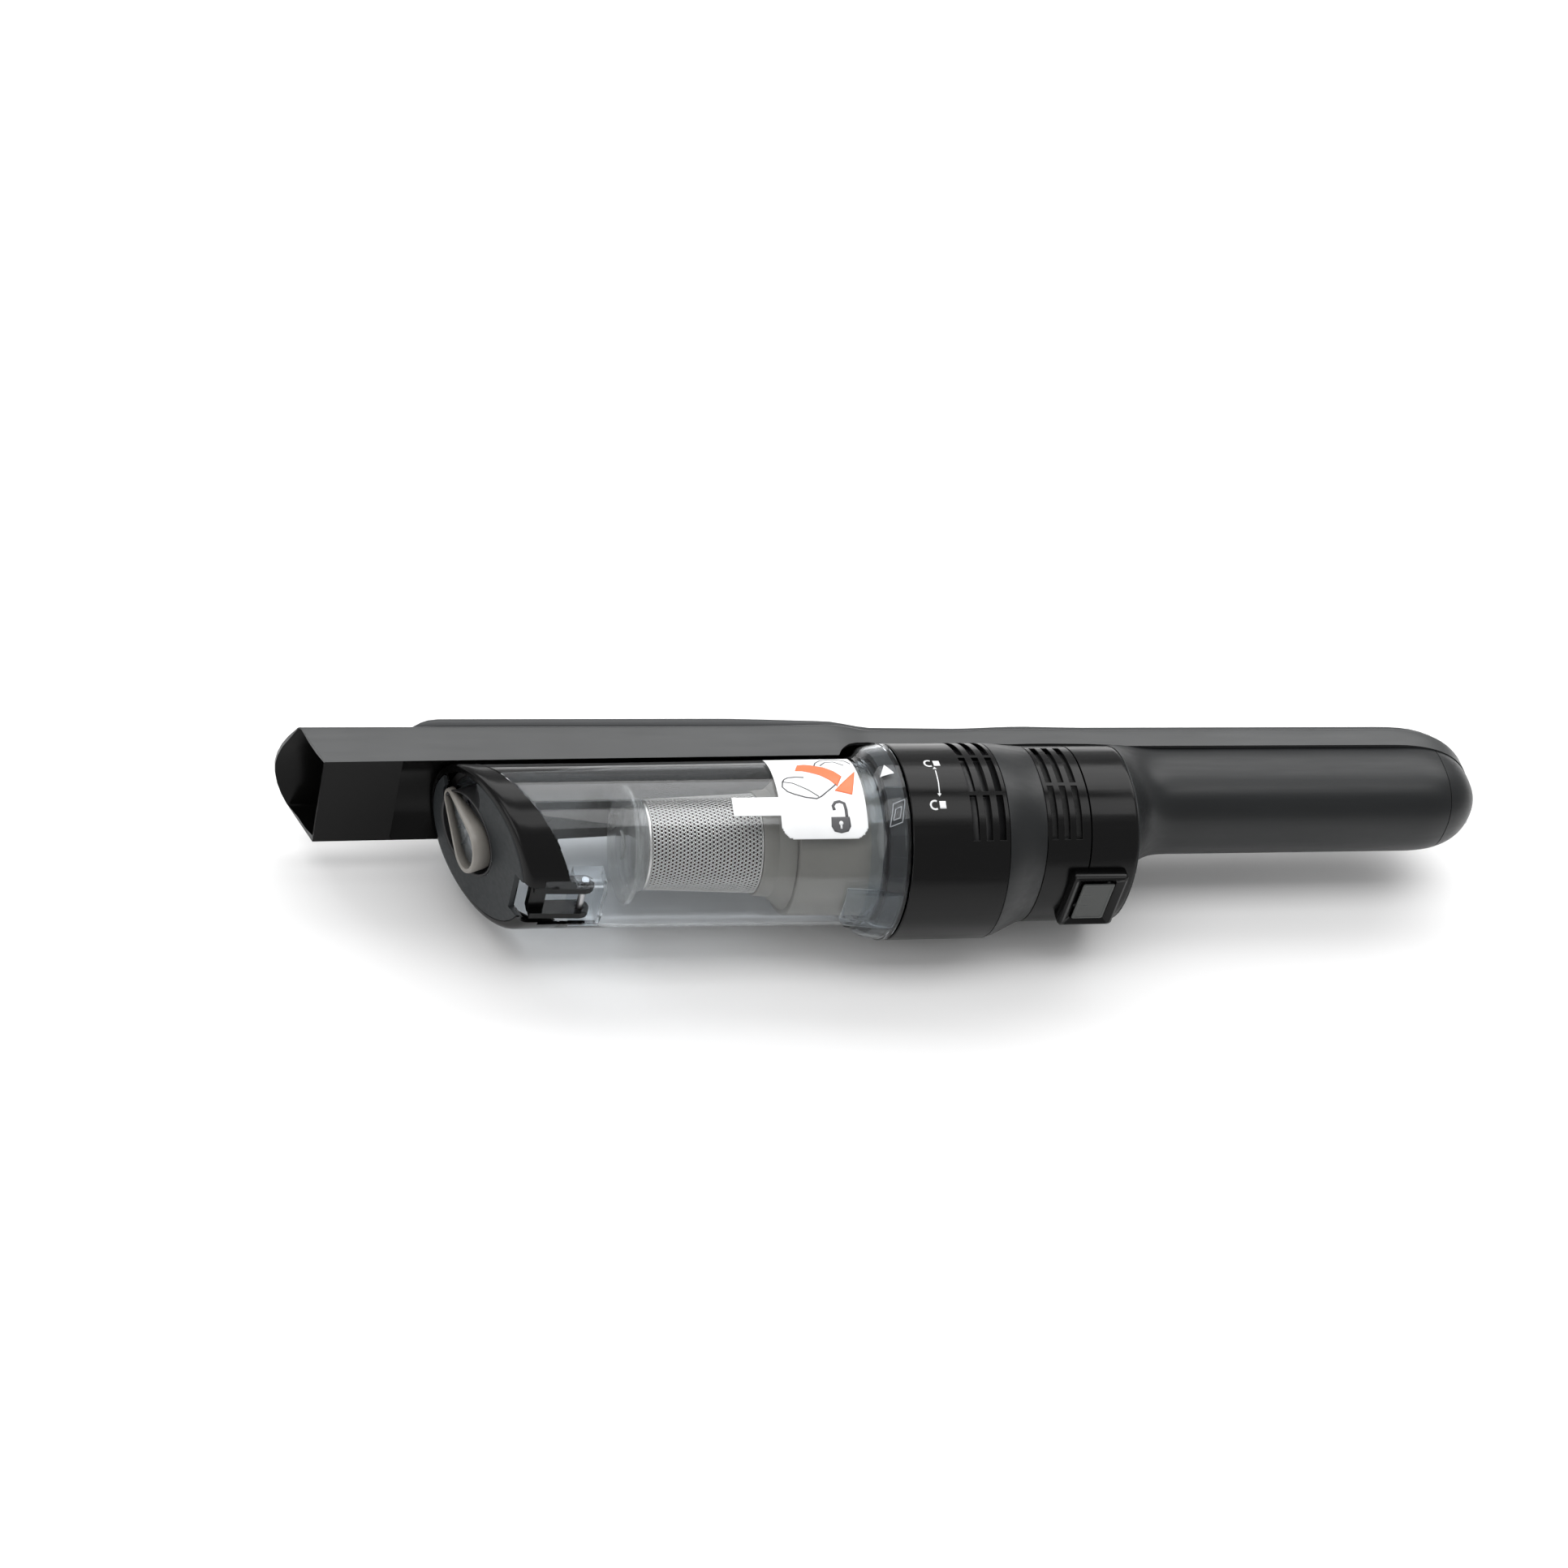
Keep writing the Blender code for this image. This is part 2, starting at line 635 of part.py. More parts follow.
def make_battery(parent):
    green = material("cell_sleeve", (0.05, 0.16, 0.3), 0.35)
    number = 0
    for column in range(2):
        for side in (-1, 1):
            number += 1
            x = CELL_START + column * (CELL_LENGTH + 1)
            spot = (x, GRIP_OVAL[0], side * (CELL_R + 0.4))
            end = (x + CELL_LENGTH, GRIP_OVAL[0], side * (CELL_R + 0.4))
            add(f"battery_cell_{number}", rod(spot, end, CELL_R, 20), green, parent)
    dark = material("inner_black_plastic", (0.03, 0.03, 0.032), 0.55)
    add("cell_holder", box(CELL_START + 1, 256, 9.0, 12.5, -11, 11), dark, parent)


def make_controls(parent):
    board = material("circuit_board", (0.01, 0.09, 0.04), 0.4)
    dark = material("inner_black_plastic", (0.03, 0.03, 0.032), 0.55)
    grey = material("grey_plastic", (0.19, 0.205, 0.205), 0.35)
    add("control_board", box(108, 178, 33.5, 35.1, -15.5, 15.5), board, parent)
    add("power_switch", box(118, 130, 35.4, 41.4, -4, 4), dark, parent)
    middle = (BUTTON_X[0] + BUTTON_X[1]) / 2
    half = (BUTTON_X[1] - BUTTON_X[0]) / 2
    rows = []
    for y, inset in ((43.2, 0.0), (51.6, 0.0), (52.3, 0.7)):
        ring = []
        for i in range(16):
            angle = 2 * math.pi * i / 16
            across = math.copysign(abs(math.sin(angle)) ** 0.7, math.sin(angle))
            along = math.copysign(abs(math.cos(angle)) ** 0.7, math.cos(angle))
            ring.append((middle + (half - inset) * along, y, (6.0 - inset) * across))
        rows.append(ring)
    add("power_button", block(rows), grey, parent, (middle, 52.3, 0.0))
    steel = material("spring_steel", (0.5, 0.5, 0.5), 0.3, 1.0)
    socket = ((264, 3.1), (277.5, 3.1), (277.5, 1.6), (266, 1.6), (266, 0), (264, 0))
    add("charge_socket", revolve(socket, 16, y=10), steel, parent)


# ---------------------------------------------------------------- filter

def make_filter(parent):
    grey = material("filter_grey_plastic", (0.16, 0.155, 0.145), 0.4)
    base = ((-45, 30.4), (-0.8, 31.4), (-0.8, 29.4), (-42.8, 28.6), (-42.8, 23.2), (-45, 23.2))
    add("filter_base", revolve(base, 28), grey, parent)
    skirt = ((-57.6, 21.6), (-45.3, 28.2), (-45.3, 26.6), (-57.6, 20.0))
    add("filter_skirt", revolve(skirt, 24), grey, parent)
    metal = material("stainless_mesh", (0.62, 0.58, 0.54), 0.3, 1.0)
    screen = ((-104.6, 18.8), (-58, 20.9), (-58, 20.1), (-104.6, 18.0))
    add("mesh_screen", revolve(screen, 24), metal, parent)
    flange = ((-114.5, 0), (-114.5, 15), (-112.4, 24.8), (-110.8, 24.8), (-109.6, 20.2), (-105, 19.2),
              (-105, 17), (-109.5, 16), (-111.5, 0))
    add("filter_flange", revolve(flange, 24), grey, parent)
    make_cartridge(parent)


def make_cartridge(parent):
    """Pleated paper sleeve inside the mesh screen."""
    paper = material("pleated_filter_paper", (0.5, 0.14, 0.1), 0.85)
    pleats = 16
    outer = []
    inner = []
    for x in (-104.5, -58.0):
        star = []
        bore = []
        for i in range(2 * pleats):
            angle = math.pi * i / pleats
            radius = 16.2 if i % 2 else 11.0
            star.append((x, radius * math.cos(angle), radius * math.sin(angle)))
            bore.append((x, 7.5 * math.cos(angle), 7.5 * math.sin(angle)))
        outer.append(star)
        inner.append(bore)
    add("filter_cartridge", tube(outer, inner), paper, parent)


# ---------------------------------------------------------------- bin

def bin_radius(x):
    return between(x, ((-150, BIN_FRONT_R), (-16, BIN_REAR_R)))


def make_twist_ring(parent):
    rubber = material("black_rubber", (0.02, 0.02, 0.02), 0.8)
    ring = ((-9.2, 33.2), (-4.8, 33.2), (-4.8, 31.8), (-9.2, 31.8))
    add("bin_seal", revolve(ring, 28), rubber, parent)
    dark = material("inner_black_plastic", (0.03, 0.03, 0.032), 0.55)
    bayonet = ((-8.2, 38.2), (-1.2, 39.4), (-1.2, 36.0), (-8.2, 36.0))
    add("bayonet_ring", revolve(bayonet, 28), dark, parent)


def make_bin(parent):
    clear = material("clear_smoky_plastic", (0.55, 0.6, 0.66), 0.05, 0.0, 0.35)
    segments = 32
    outer = [circle(SEAM_X, BIN_FRONT_R, segments, slope=SEAM_SLOPE)]
    inner = [circle(SEAM_X, BIN_FRONT_R - BIN_WALL, segments, slope=SEAM_SLOPE)]
    for x in (-120.0, -60.0, -0.8):
        outer.append(circle(x, bin_radius(x), segments))
        inner.append(circle(x, bin_radius(x) - BIN_WALL, segments))
    shell = add("bin_tube", tube(outer, inner), clear, parent)
    combine(shell, box(-165, -126.4, -40, -22.0, -12.9, 12.9), "DIFFERENCE")
    combine(shell, box(PORT[0], PORT[1], 20, 40, -PORT[2], PORT[2]), "DIFFERENCE")
    collar = ((-16, 35.65), (-15, 36.3), (-9.5, 40.4), (-GAP, COLLAR_R), (-GAP, COLLAR_R - 1.8),
              (-9, 38.7), (-12, 35.65))
    add("bin_collar", revolve(collar, 32), clear, parent)
    white = material("label_film", (0.78, 0.79, 0.8), 0.4)
    add("bin_label", label_sheet(), white, parent)
    pocket = box(-139.4, -126.8, -33.0, -22.4, -12.5, 12.5)
    bracket = add("hinge_bracket", pocket, clear, parent)
    combine(bracket, box(-150, -128.2, -40, -23.8, -11.0, 11.0), "DIFFERENCE")
    steel = material("brushed_steel", (0.45, 0.45, 0.46), 0.35, 1.0)
    pin = rod((HINGE[0], HINGE[1], -10.7), (HINGE[0], HINGE[1], 10.7), 1.5, 12)
    add("hinge_pin", pin, steel, parent)


def label_sheet():
    outer = []
    inner = []
    for x in (-54.5, -33.0, -16.5):
        rows = []
        for lift in (0.55, 0.3):
            radius = bin_radius(x) + lift
            row = []
            for i in range(11):
                angle = math.radians(50 + 77 * i / 10)
                row.append((x, -radius * math.cos(angle), radius * math.sin(angle)))
            rows.append(row)
        outer.append(rows[0])
        inner.append(rows[1])
    return trough(outer, inner)


# ---------------------------------------------------------------- door

def face_point(along, out, z):
    """Point on the door's slanted face: height along it, distance out of it, and Z."""
    length = math.hypot(FACE_SLOPE, 1.0)
    x = FACE_X + (along * FACE_SLOPE - out) / length
    y = (along + out * FACE_SLOPE) / length
    return (x, y, z)


def face_disc(radius, out_low, out_high, segments=24, middle=RECESS_V):
    """Round plug along the face's normal."""
    rows = []
    for out in (out_low, out_high):
        row = []
        for i in range(segments):
            angle = 2 * math.pi * i / segments
            row.append(face_point(middle + radius * math.cos(angle), out, radius * math.sin(angle)))
        rows.append(row)
    return rows


def make_door(parent, latch):
    pivot = (HINGE[0], HINGE[1], 0.0)
    gloss = material("gloss_black_plastic", (0.012, 0.012, 0.013), 0.12)
    matte = material("matte_dark_plastic", (0.045, 0.05, 0.055), 0.55)
    rubber = material("black_rubber", (0.02, 0.02, 0.02), 0.8)
    segments = 32
    seam = SEAM_X - 0.35
    front = FACE_X + 2.0
    outer = [circle(seam, 34.0, segments, slope=SEAM_SLOPE), circle(front, 34.0, segments, slope=FACE_SLOPE)]
    inner = [circle(seam, 32.2, segments, slope=SEAM_SLOPE),
             circle(front + 1.8, 32.2, segments, slope=FACE_SLOPE)]
    cap = add("door_cap", cup(outer, inner), gloss, parent, pivot)
    combine(cap, block(face_disc(RECESS_R + 0.4, -15, 5)), "DIFFERENCE")
    combine(cap, box(-162, -140, -40, -22.6, -10.6, 10.6), "DIFFERENCE")
    combine(cap, box(-152, -136, -40, -22.0, -13.2, 13.2), "DIFFERENCE")
    rows = [circle(FACE_X + 1.7, 34.0, segments, slope=FACE_SLOPE),
            circle(FACE_X + 0.9, 34.0, segments, slope=FACE_SLOPE),
            circle(FACE_X, 32.6, segments, slope=FACE_SLOPE)]
    face = add("door_face", block(rows), matte, parent, pivot)
    combine(face, block(face_disc(RECESS_R, -15, 5)), "DIFFERENCE")
    combine(face, box(-170, -140, -40, -25.4, -9.0, 9.0), "DIFFERENCE")
    gasket_out = [circle(seam - 1.4, 31.8, segments, slope=SEAM_SLOPE),
                  circle(seam - 0.2, 31.8, segments, slope=SEAM_SLOPE)]
    gasket_in = [circle(seam - 1.4, 29.8, segments, slope=SEAM_SLOPE),
                 circle(seam - 0.2, 29.8, segments, slope=SEAM_SLOPE)]
    gasket = add("door_gasket", tube(gasket_out, gasket_in), rubber, parent, pivot)
    combine(gasket, box(-165, -136, -40, -21.6, -13.6, 13.6), "DIFFERENCE")
    combine(gasket, block(face_disc(RECESS_R + 1.0, -18, 8)), "DIFFERENCE")
    pocket = cup(list(reversed(face_disc(RECESS_R - 0.4, -13.0, -1.0))),
                 list(reversed(face_disc(RECESS_R - 1.8, -11.4, -1.0))))
    add("latch_housing", pocket, matte, parent, pivot)
    make_door_ears(parent, pivot, gloss)
    make_latch(parent, latch)


def make_door_ears(parent, pivot, finish):
    """Hinge arm: two round-ended ears round the pin, joined by a bridge under the door's edge."""
    arm = None
    for side in (-1, 1):
        rows = []
        for z in (side * 6.0, side * 9.0):
            loop = [(-156.0, -24.2, z), (-156.0, -31.4, z)]
            for i in range(7):
                angle = math.radians(-90 + 180 * i / 6)
                loop.append((HINGE[0] + 4.0 * math.cos(angle), HINGE[1] + 3.9 * math.sin(angle), z))
            rows.append(loop)
        if arm is None:
            arm = add("door_hinge_arm", block(rows), finish, parent, pivot)
        else:
            combine(arm, block(rows), "UNION")
    combine(arm, box(-156.6, -150.0, -28.5, -24.0, -8.0, 8.0), "UNION")
    bore = rod((HINGE[0], HINGE[1], -12), (HINGE[0], HINGE[1], 12), 1.85, 12)
    combine(arm, bore, "DIFFERENCE")


def make_latch(parent, latch):
    """Teardrop thumb lever, narrow at its pivot and wide and proud at its free end."""
    grey = material("grey_plastic", (0.19, 0.205, 0.205), 0.35)
    steel = material("brushed_steel", (0.45, 0.45, 0.46), 0.35, 1.0)
    narrow_v, depth, narrow_z = LATCH_PIVOT
    wide_v, wide_r = LATCH_WIDE
    length = math.hypot(narrow_v - wide_v, narrow_z)
    lean = math.atan2(narrow_z, narrow_v - wide_v)
    outline = []
    for i in range(9):
        angle = lean + math.radians(100 + 160 * i / 8)
        outline.append((wide_v + wide_r * math.cos(angle), wide_r * math.sin(angle)))
    for i in range(5):
        angle = lean + math.radians(-75 + 150 * i / 4)
        outline.append((narrow_v + LATCH_NARROW_R * math.cos(angle),
                        narrow_z + LATCH_NARROW_R * math.sin(angle)))
    rows = []
    for level in (0.0, 1.0):
        row = []
        for along, z in outline:
            reach = (along - wide_v) * math.cos(lean) + z * math.sin(lean)
            share = 1 - reach / length
            low = -8.6 + 4.0 * share
            high = -2.0 + 5.0 * share
            row.append(face_point(along, low + (high - low) * level, z))
        rows.append(row)
    pivot = face_point(*LATCH_PIVOT)
    lever = add("latch_lever", block(rows), grey, latch, pivot)
    ends = (narrow_z - 6.0, narrow_z + 6.0)
    bore = rod((pivot[0], pivot[1], ends[0] - 4), (pivot[0], pivot[1], ends[1] + 4), 1.5, 10)
    combine(lever, bore, "DIFFERENCE")
    pin = rod((pivot[0], pivot[1], ends[0]), (pivot[0], pivot[1], ends[1]), 1.2, 10)
    add("latch_pin", pin, steel, parent, (HINGE[0], HINGE[1], 0.0))


def make_screws(parent):
    """Four screws, sunk in the spine under the cover, that hold the cover strip's seat."""
    steel = material("spring_steel", (0.5, 0.5, 0.5), 0.3, 1.0)
    for number, x in enumerate((-186.0, -40.0, 90.0, 225.0), 1):
        head = spine_edge(x) + CROWN + GAP
        screw = rod((x, head, 0.0), (x, head + 1.6, 0.0), 2.2, 12)
        add(f"cover_screw_{number}", screw, steel, parent)


def empty(name, parent, location=(0.0, 0.0, 0.0)):
    made = bpy.data.objects.new(name, None)
    made.location = Vector(location) * MM
    made.parent = parent
    bpy.context.collection.objects.link(made)
    return made


def main():
    for old in list(bpy.data.objects):
        bpy.data.objects.remove(old, do_unlink=True)
    frame = empty("vacuum_frame", None, FRAME_OFFSET)
    make_intake_duct(frame)
    make_spine_shell(frame)
    make_top_cover(frame)
    make_screws(frame)
    make_handle_grip(frame)
    make_handle_end_cap(frame)
    make_motor_housing(frame)
    make_taper_ring(frame)
    make_rear_housing(frame)
    make_rear_cap(frame)
    make_release(frame)
    make_motor(frame, empty("rotor_axis", frame))
    make_exhaust_foam(frame)
    make_battery(frame)
    make_controls(frame)
    make_filter(frame)
    twist = empty("twist_axis", frame)
    make_twist_ring(twist)
    make_bin(twist)
    make_door(twist, twist)


main()
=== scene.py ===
"""Looks of the cordless handheld vacuum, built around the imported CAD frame.

Shapes are written in axis millimetres: X along the machine from the joint between the dust bin and
the motor housing, Y from the bin's axis towards the spine, Z across. origin() gives that frame's
place in the CAD model, and place() takes a point there.
"""
import json
import math

import bmesh
import bpy
from mathutils import Matrix, Vector


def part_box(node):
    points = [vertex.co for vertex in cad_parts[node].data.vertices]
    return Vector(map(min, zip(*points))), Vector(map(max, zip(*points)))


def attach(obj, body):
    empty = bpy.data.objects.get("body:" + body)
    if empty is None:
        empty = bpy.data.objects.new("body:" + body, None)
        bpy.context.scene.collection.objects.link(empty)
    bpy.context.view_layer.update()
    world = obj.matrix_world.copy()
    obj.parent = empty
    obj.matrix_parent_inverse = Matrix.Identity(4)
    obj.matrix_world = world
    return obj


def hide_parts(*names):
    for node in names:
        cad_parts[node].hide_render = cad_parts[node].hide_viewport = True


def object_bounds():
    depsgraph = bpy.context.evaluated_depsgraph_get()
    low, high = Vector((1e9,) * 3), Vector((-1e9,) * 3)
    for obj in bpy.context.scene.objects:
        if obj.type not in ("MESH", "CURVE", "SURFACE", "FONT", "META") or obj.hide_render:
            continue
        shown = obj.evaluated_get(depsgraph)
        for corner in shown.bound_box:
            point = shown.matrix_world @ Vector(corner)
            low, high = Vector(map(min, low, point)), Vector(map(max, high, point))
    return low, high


MM = 0.001
GAP = 0.3

# Spine
MOUTH_X = -236.2
MOUTH_SLANT = 9.3
MOUTH_BULGE = 6.2
DUCT_WIDTH = 24.0
DUCT_LOW = 25.3
DUCT_HIGH = 46.0
SADDLE_X = -203.6
CROWN = 3.0
BAND_WIDTH = 22.0
BAND_LOW = 34.3
SHELL = 1.8

# Rounded end of the handle
END_START = 240.0
END_TIP = 283.0
END_POWER = 2.6
END_Y = 22.0
CAP_X = 264.0
GRIP_END = (250.0, 282.8, 2.4)

# Motor housing and grip
HOUSING_R = 41.7
REAR_OVAL = (3.5, 36.0, 37.0, 2.2)
GRIP_OVAL = (23.0, 23.5, 22.1, 2.4)
TAPER = (43.3, 62.0)
REAR_END = 103.2
FLARE_LENGTH = 34.0
RELEASE_X = 86.4
FRONT_VENTS = (28.1, 33.95, 39.8)
FRONT_VENT_HALF = 1.45
REAR_VENTS = (65.4, 70.8, 76.2)
REAR_VENT_HALF = 1.35
BUTTON_WINDOW = 11.5

# Bin and door
BIN_FRONT_R = 34.0
BIN_REAR_R = 35.3
BIN_WALL = 1.6
SEAM_X = -160.5
SEAM_SLOPE = -0.608
FACE_X = -174.0
FACE_SLOPE = -0.4515
RECESS_V = 8.0
RECESS_R = 19.0
UPPER_CUT = (17.0, 19.0)
LEVER_WIDE = (1.0, 1.5, 11.0)
LEVER_NARROW = (22.0, 7.5, 4.5)
UPPER_CUT_R = 13.5
CUT_DEPTH = 8
CUT_TOP = 5

# Label: its span along the bin, its span in degrees round it, and its printed layers' heights
LABEL_X = (-74.5, -16.5)
LABEL_DEGREES = (49.5, 127.2)
LABEL_STEP = 0.5
LABEL_CORNER = 6.5
LABEL_LIFT = 0.32
PRINT_LIFT = 0.4

# Screen: its span, its radius at the front, its flare, and its holes
SCREEN_X = (-104.4, -58.2)
SCREEN_R = 18.8
SCREEN_FLARE = 2.1
SCREEN_AROUND = 72
SCREEN_ALONG = 30
HOLE_SHARE = 0.37
HOLE_SIDES = 8

# Stage, in metres
FLOOR_HALF = 6.0
FLOOR_DROP = 0.0002
WORLD_STRENGTH = 0.55

# Camera: place in axis millimetres, and its right, up and back directions
CAMERA_AT = (-450.8, -914.4, 1023.7)
CAMERA_RIGHT = (0.9585, -0.1991, 0.2040)
CAMERA_UP = (0.0072, 0.7322, 0.6810)
CAMERA_BACK = (-0.2850, -0.6513, 0.7033)
CAMERA_LENS = 78.26
SENSOR = 36.0

CLEAR_IOR = 1.12
SHARP_DEGREES = 32.0

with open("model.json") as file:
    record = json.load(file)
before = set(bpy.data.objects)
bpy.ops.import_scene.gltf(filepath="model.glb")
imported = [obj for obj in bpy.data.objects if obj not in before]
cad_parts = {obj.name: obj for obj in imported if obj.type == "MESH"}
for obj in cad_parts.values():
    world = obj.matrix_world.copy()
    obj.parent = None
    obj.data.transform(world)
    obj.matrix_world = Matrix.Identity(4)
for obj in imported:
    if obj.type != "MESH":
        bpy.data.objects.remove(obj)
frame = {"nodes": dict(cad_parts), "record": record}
cad_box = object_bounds()


def origin():
    """World place of the axis frame's zero point, from the bin's collar and the motor housing."""
    low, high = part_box("bin_collar")
    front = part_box("motor_housing")[0].x
    return Vector((front - GAP * MM, (low.y + high.y) / 2, (low.z + high.z) / 2))


ZERO = origin()


def place(point):
    return ZERO + Vector(point) * MM


# ---------------------------------------------------------------- materials

def nodes_of(name):
    made = bpy.data.materials.new(name)
    made.use_nodes = True
    tree = made.node_tree
    return made, tree, tree.nodes["Principled BSDF"]


def noise(tree, scale, detail, coords, stretch=None):
    """Noise texture on object coordinates, stretched along an axis if asked."""
    node = tree.nodes.new("ShaderNodeTexNoise")
    node.inputs["Scale"].default_value = scale
    node.inputs["Detail"].default_value = detail
    source = coords
    if stretch:
        mapping = tree.nodes.new("ShaderNodeMapping")
        mapping.inputs["Scale"].default_value = stretch
        tree.links.new(coords, mapping.inputs["Vector"])
        source = mapping.outputs["Vector"]
    tree.links.new(source, node.inputs["Vector"])
    return node.outputs["Fac"]


def remap(tree, value, low, high, start=0.3, end=0.7):
    node = tree.nodes.new("ShaderNodeMapRange")
    node.inputs["From Min"].default_value = start
    node.inputs["From Max"].default_value = end
    node.inputs["To Min"].default_value = low
    node.inputs["To Max"].default_value = high
    tree.links.new(value, node.inputs["Value"])
    return node.outputs["Result"]


def tint(tree, value, dark, light):
    node = tree.nodes.new("ShaderNodeMix")
    node.data_type = "RGBA"
    node.inputs["A"].default_value = (*dark, 1)
    node.inputs["B"].default_value = (*light, 1)
    tree.links.new(value, node.inputs["Factor"])
    return node.outputs["Result"]


def bump(tree, shader, value, strength, distance):
    node = tree.nodes.new("ShaderNodeBump")
    node.inputs["Strength"].default_value = strength
    node.inputs["Distance"].default_value = distance
    tree.links.new(value, node.inputs["Height"])
    tree.links.new(node.outputs["Normal"], shader.inputs["Normal"])


def plastic(name, colour, rough, grain=0.0, specular=0.5, scuff=0.12):
    """Moulded plastic: mottled colour, roughness that varies with handling, fine grain and scuffs."""
    made, tree, shader = nodes_of(name)
    coords = tree.nodes.new("ShaderNodeTexCoord").outputs["Object"]
    broad = noise(tree, 22.0, 4.0, coords)
    fine = noise(tree, 2600.0, 2.0, coords)
    streaks = noise(tree, 160.0, 6.0, coords, (0.25, 3.0, 3.0))
    mottled = remap(tree, broad, 0.0, 1.0)
    dark = tuple(c * 0.9 for c in colour)
    light = tuple(min(1.0, c * 1.12) for c in colour)
    tree.links.new(tint(tree, mottled, dark, light), shader.inputs["Base Color"])
    handled = remap(tree, streaks, rough * (1 - scuff), rough * (1 + scuff))
    tree.links.new(handled, shader.inputs["Roughness"])
    shader.inputs["Specular IOR Level"].default_value = specular
    bump(tree, shader, fine if grain else streaks, grain if grain else 0.03, 0.00004)
    return made


def clear(name, colour, rough, strength=1.0, coat=0.7):
    """Clear moulded plastic with faint flow lines, bent little by its low IOR and glossed by a coat."""
    made, tree, shader = nodes_of(name)
    coords = tree.nodes.new("ShaderNodeTexCoord").outputs["Object"]
    flow = noise(tree, 60.0, 3.0, coords, (0.3, 2.0, 2.0))
    dark = tuple(c * 0.96 for c in colour)
    tree.links.new(tint(tree, remap(tree, flow, 0, 1), dark, colour), shader.inputs["Base Color"])
    tree.links.new(remap(tree, flow, rough * 0.7, rough * 1.4), shader.inputs["Roughness"])
    shader.inputs["Transmission Weight"].default_value = strength
    shader.inputs["IOR"].default_value = CLEAR_IOR
    shader.inputs["Coat Weight"].default_value = coat
    shader.inputs["Coat Roughness"].default_value = 0.04
    bump(tree, shader, flow, 0.015, 0.00002)
    return made


def metal(name, colour, rough, stretch=(1.0, 8.0, 8.0)):
    """Turned or drawn metal with fine lines."""
    made, tree, shader = nodes_of(name)
    coords = tree.nodes.new("ShaderNodeTexCoord").outputs["Object"]
    lines = noise(tree, 900.0, 3.0, coords, stretch)
    tree.links.new(tint(tree, remap(tree, lines, 0, 1), tuple(c * 0.82 for c in colour), colour),
                   shader.inputs["Base Color"])
    tree.links.new(remap(tree, lines, rough * 0.75, rough * 1.3), shader.inputs["Roughness"])
    shader.inputs["Metallic"].default_value = 1.0
    bump(tree, shader, lines, 0.12, 0.00003)
    return made


def fibrous(name, colour, scale, strength=0.6):
    """Foam, paper or rubber: rough and mottled."""
    made, tree, shader = nodes_of(name)
    coords = tree.nodes.new("ShaderNodeTexCoord").outputs["Object"]
    cells = noise(tree, scale, 5.0, coords)
    tree.links.new(tint(tree, remap(tree, cells, 0, 1), tuple(c * 0.6 for c in colour), colour),
                   shader.inputs["Base Color"])
    tree.links.new(remap(tree, cells, 0.7, 0.95), shader.inputs["Roughness"])
    bump(tree, shader, cells, strength, 0.0003)
    return made


FINISH = {name: kind(name, *rest) for kind, name, *rest in (
    (plastic, "satin_grey", (0.04, 0.042, 0.043), 0.34, 0.16, 0.35),
    # under_black: near black with no specular sheen; on the spine's underside and airway it is painted
    # shade, not a second colour of the moulding.
    (plastic, "under_black", (0.003, 0.003, 0.003), 0.2, 0.0, 0.12),
    (plastic, "cover_grey", (0.028, 0.03, 0.032), 0.42, 0.2, 0.35),
    (plastic, "satin_charcoal", (0.008, 0.009, 0.0098), 0.36, 0.14, 0.32),
    (plastic, "gloss_black", (0.002, 0.002, 0.0021), 0.2, 0.0, 0.2, 0.3),
    (plastic, "matte_dark", (0.02, 0.023, 0.025), 0.5, 0.3, 0.3),
    (plastic, "release_grey", (0.045, 0.048, 0.046), 0.3, 0.1, 0.35),
    (plastic, "ledge_line", (0.3, 0.32, 0.34), 0.3),
    (plastic, "button_grey", (0.19, 0.2, 0.2), 0.34, 0.1),
    (plastic, "lever_rim", (0.24, 0.225, 0.205), 0.38, 0.1),
    (clear, "clear_smoky", (0.9, 0.93, 0.955), 0.012),
    (clear, "clear_rim", (0.84, 0.88, 0.91), 0.02, 1.0, 0.35),
    (clear, "lever_clear", (0.45, 0.48, 0.5), 0.12, 0.75),
    (clear, "skirt_clear", (0.7, 0.7, 0.68), 0.2, 0.8),
    (plastic, "label_white", (0.8, 0.81, 0.82), 0.42, 0.05),
    (plastic, "print_orange", (0.82, 0.17, 0.06), 0.45, 0.05),
    (plastic, "print_grey", (0.07, 0.07, 0.075), 0.45, 0.05),
    (plastic, "print_white", (0.75, 0.76, 0.77), 0.45, 0.05),
    (metal, "steel", (0.5, 0.5, 0.51), 0.3),
    (metal, "stainless_mesh", (0.86, 0.82, 0.78), 0.34),
    (metal, "iron", (0.22, 0.17, 0.14), 0.45, (20.0, 1.0, 1.0)),
    (metal, "magnet", (0.2, 0.2, 0.21), 0.35),
    (plastic, "filter_grey", (0.2, 0.185, 0.16), 0.4, 0.1),
    # filter_paper: the paper's own reddish tint, darkened as painted shade inside the screen so that its
    # holes read dark.
    (fibrous, "filter_paper", (0.07, 0.016, 0.012), 900.0),
    (fibrous, "rubber_black", (0.015, 0.015, 0.015), 1500.0, 0.2),
    (fibrous, "foam_black", (0.02, 0.02, 0.02), 700.0, 1.0),
    # inner_black: near black; on the sleeves behind the vents it is painted shade inside the housing, and
    # it is also the lever cup's finish.
    (plastic, "inner_black", (0.012, 0.012, 0.013), 0.5, 0.2),
    (plastic, "nylon_white", (0.6, 0.6, 0.57), 0.4, 0.1),
    (plastic, "cell_sleeve", (0.02, 0.1, 0.22), 0.3, 0.0),
    (plastic, "board_green", (0.01, 0.1, 0.04), 0.35, 0.2),
)}


def dress_frame():
    """Give every CAD node the finish of its slot in the record."""
    for entry in frame["record"]["subparts"]:
        node = frame["nodes"][entry["node"]]
        node.data.materials.clear()
        node.data.materials.append(FINISH[entry["material_slot"]])


# ---------------------------------------------------------------- mesh building

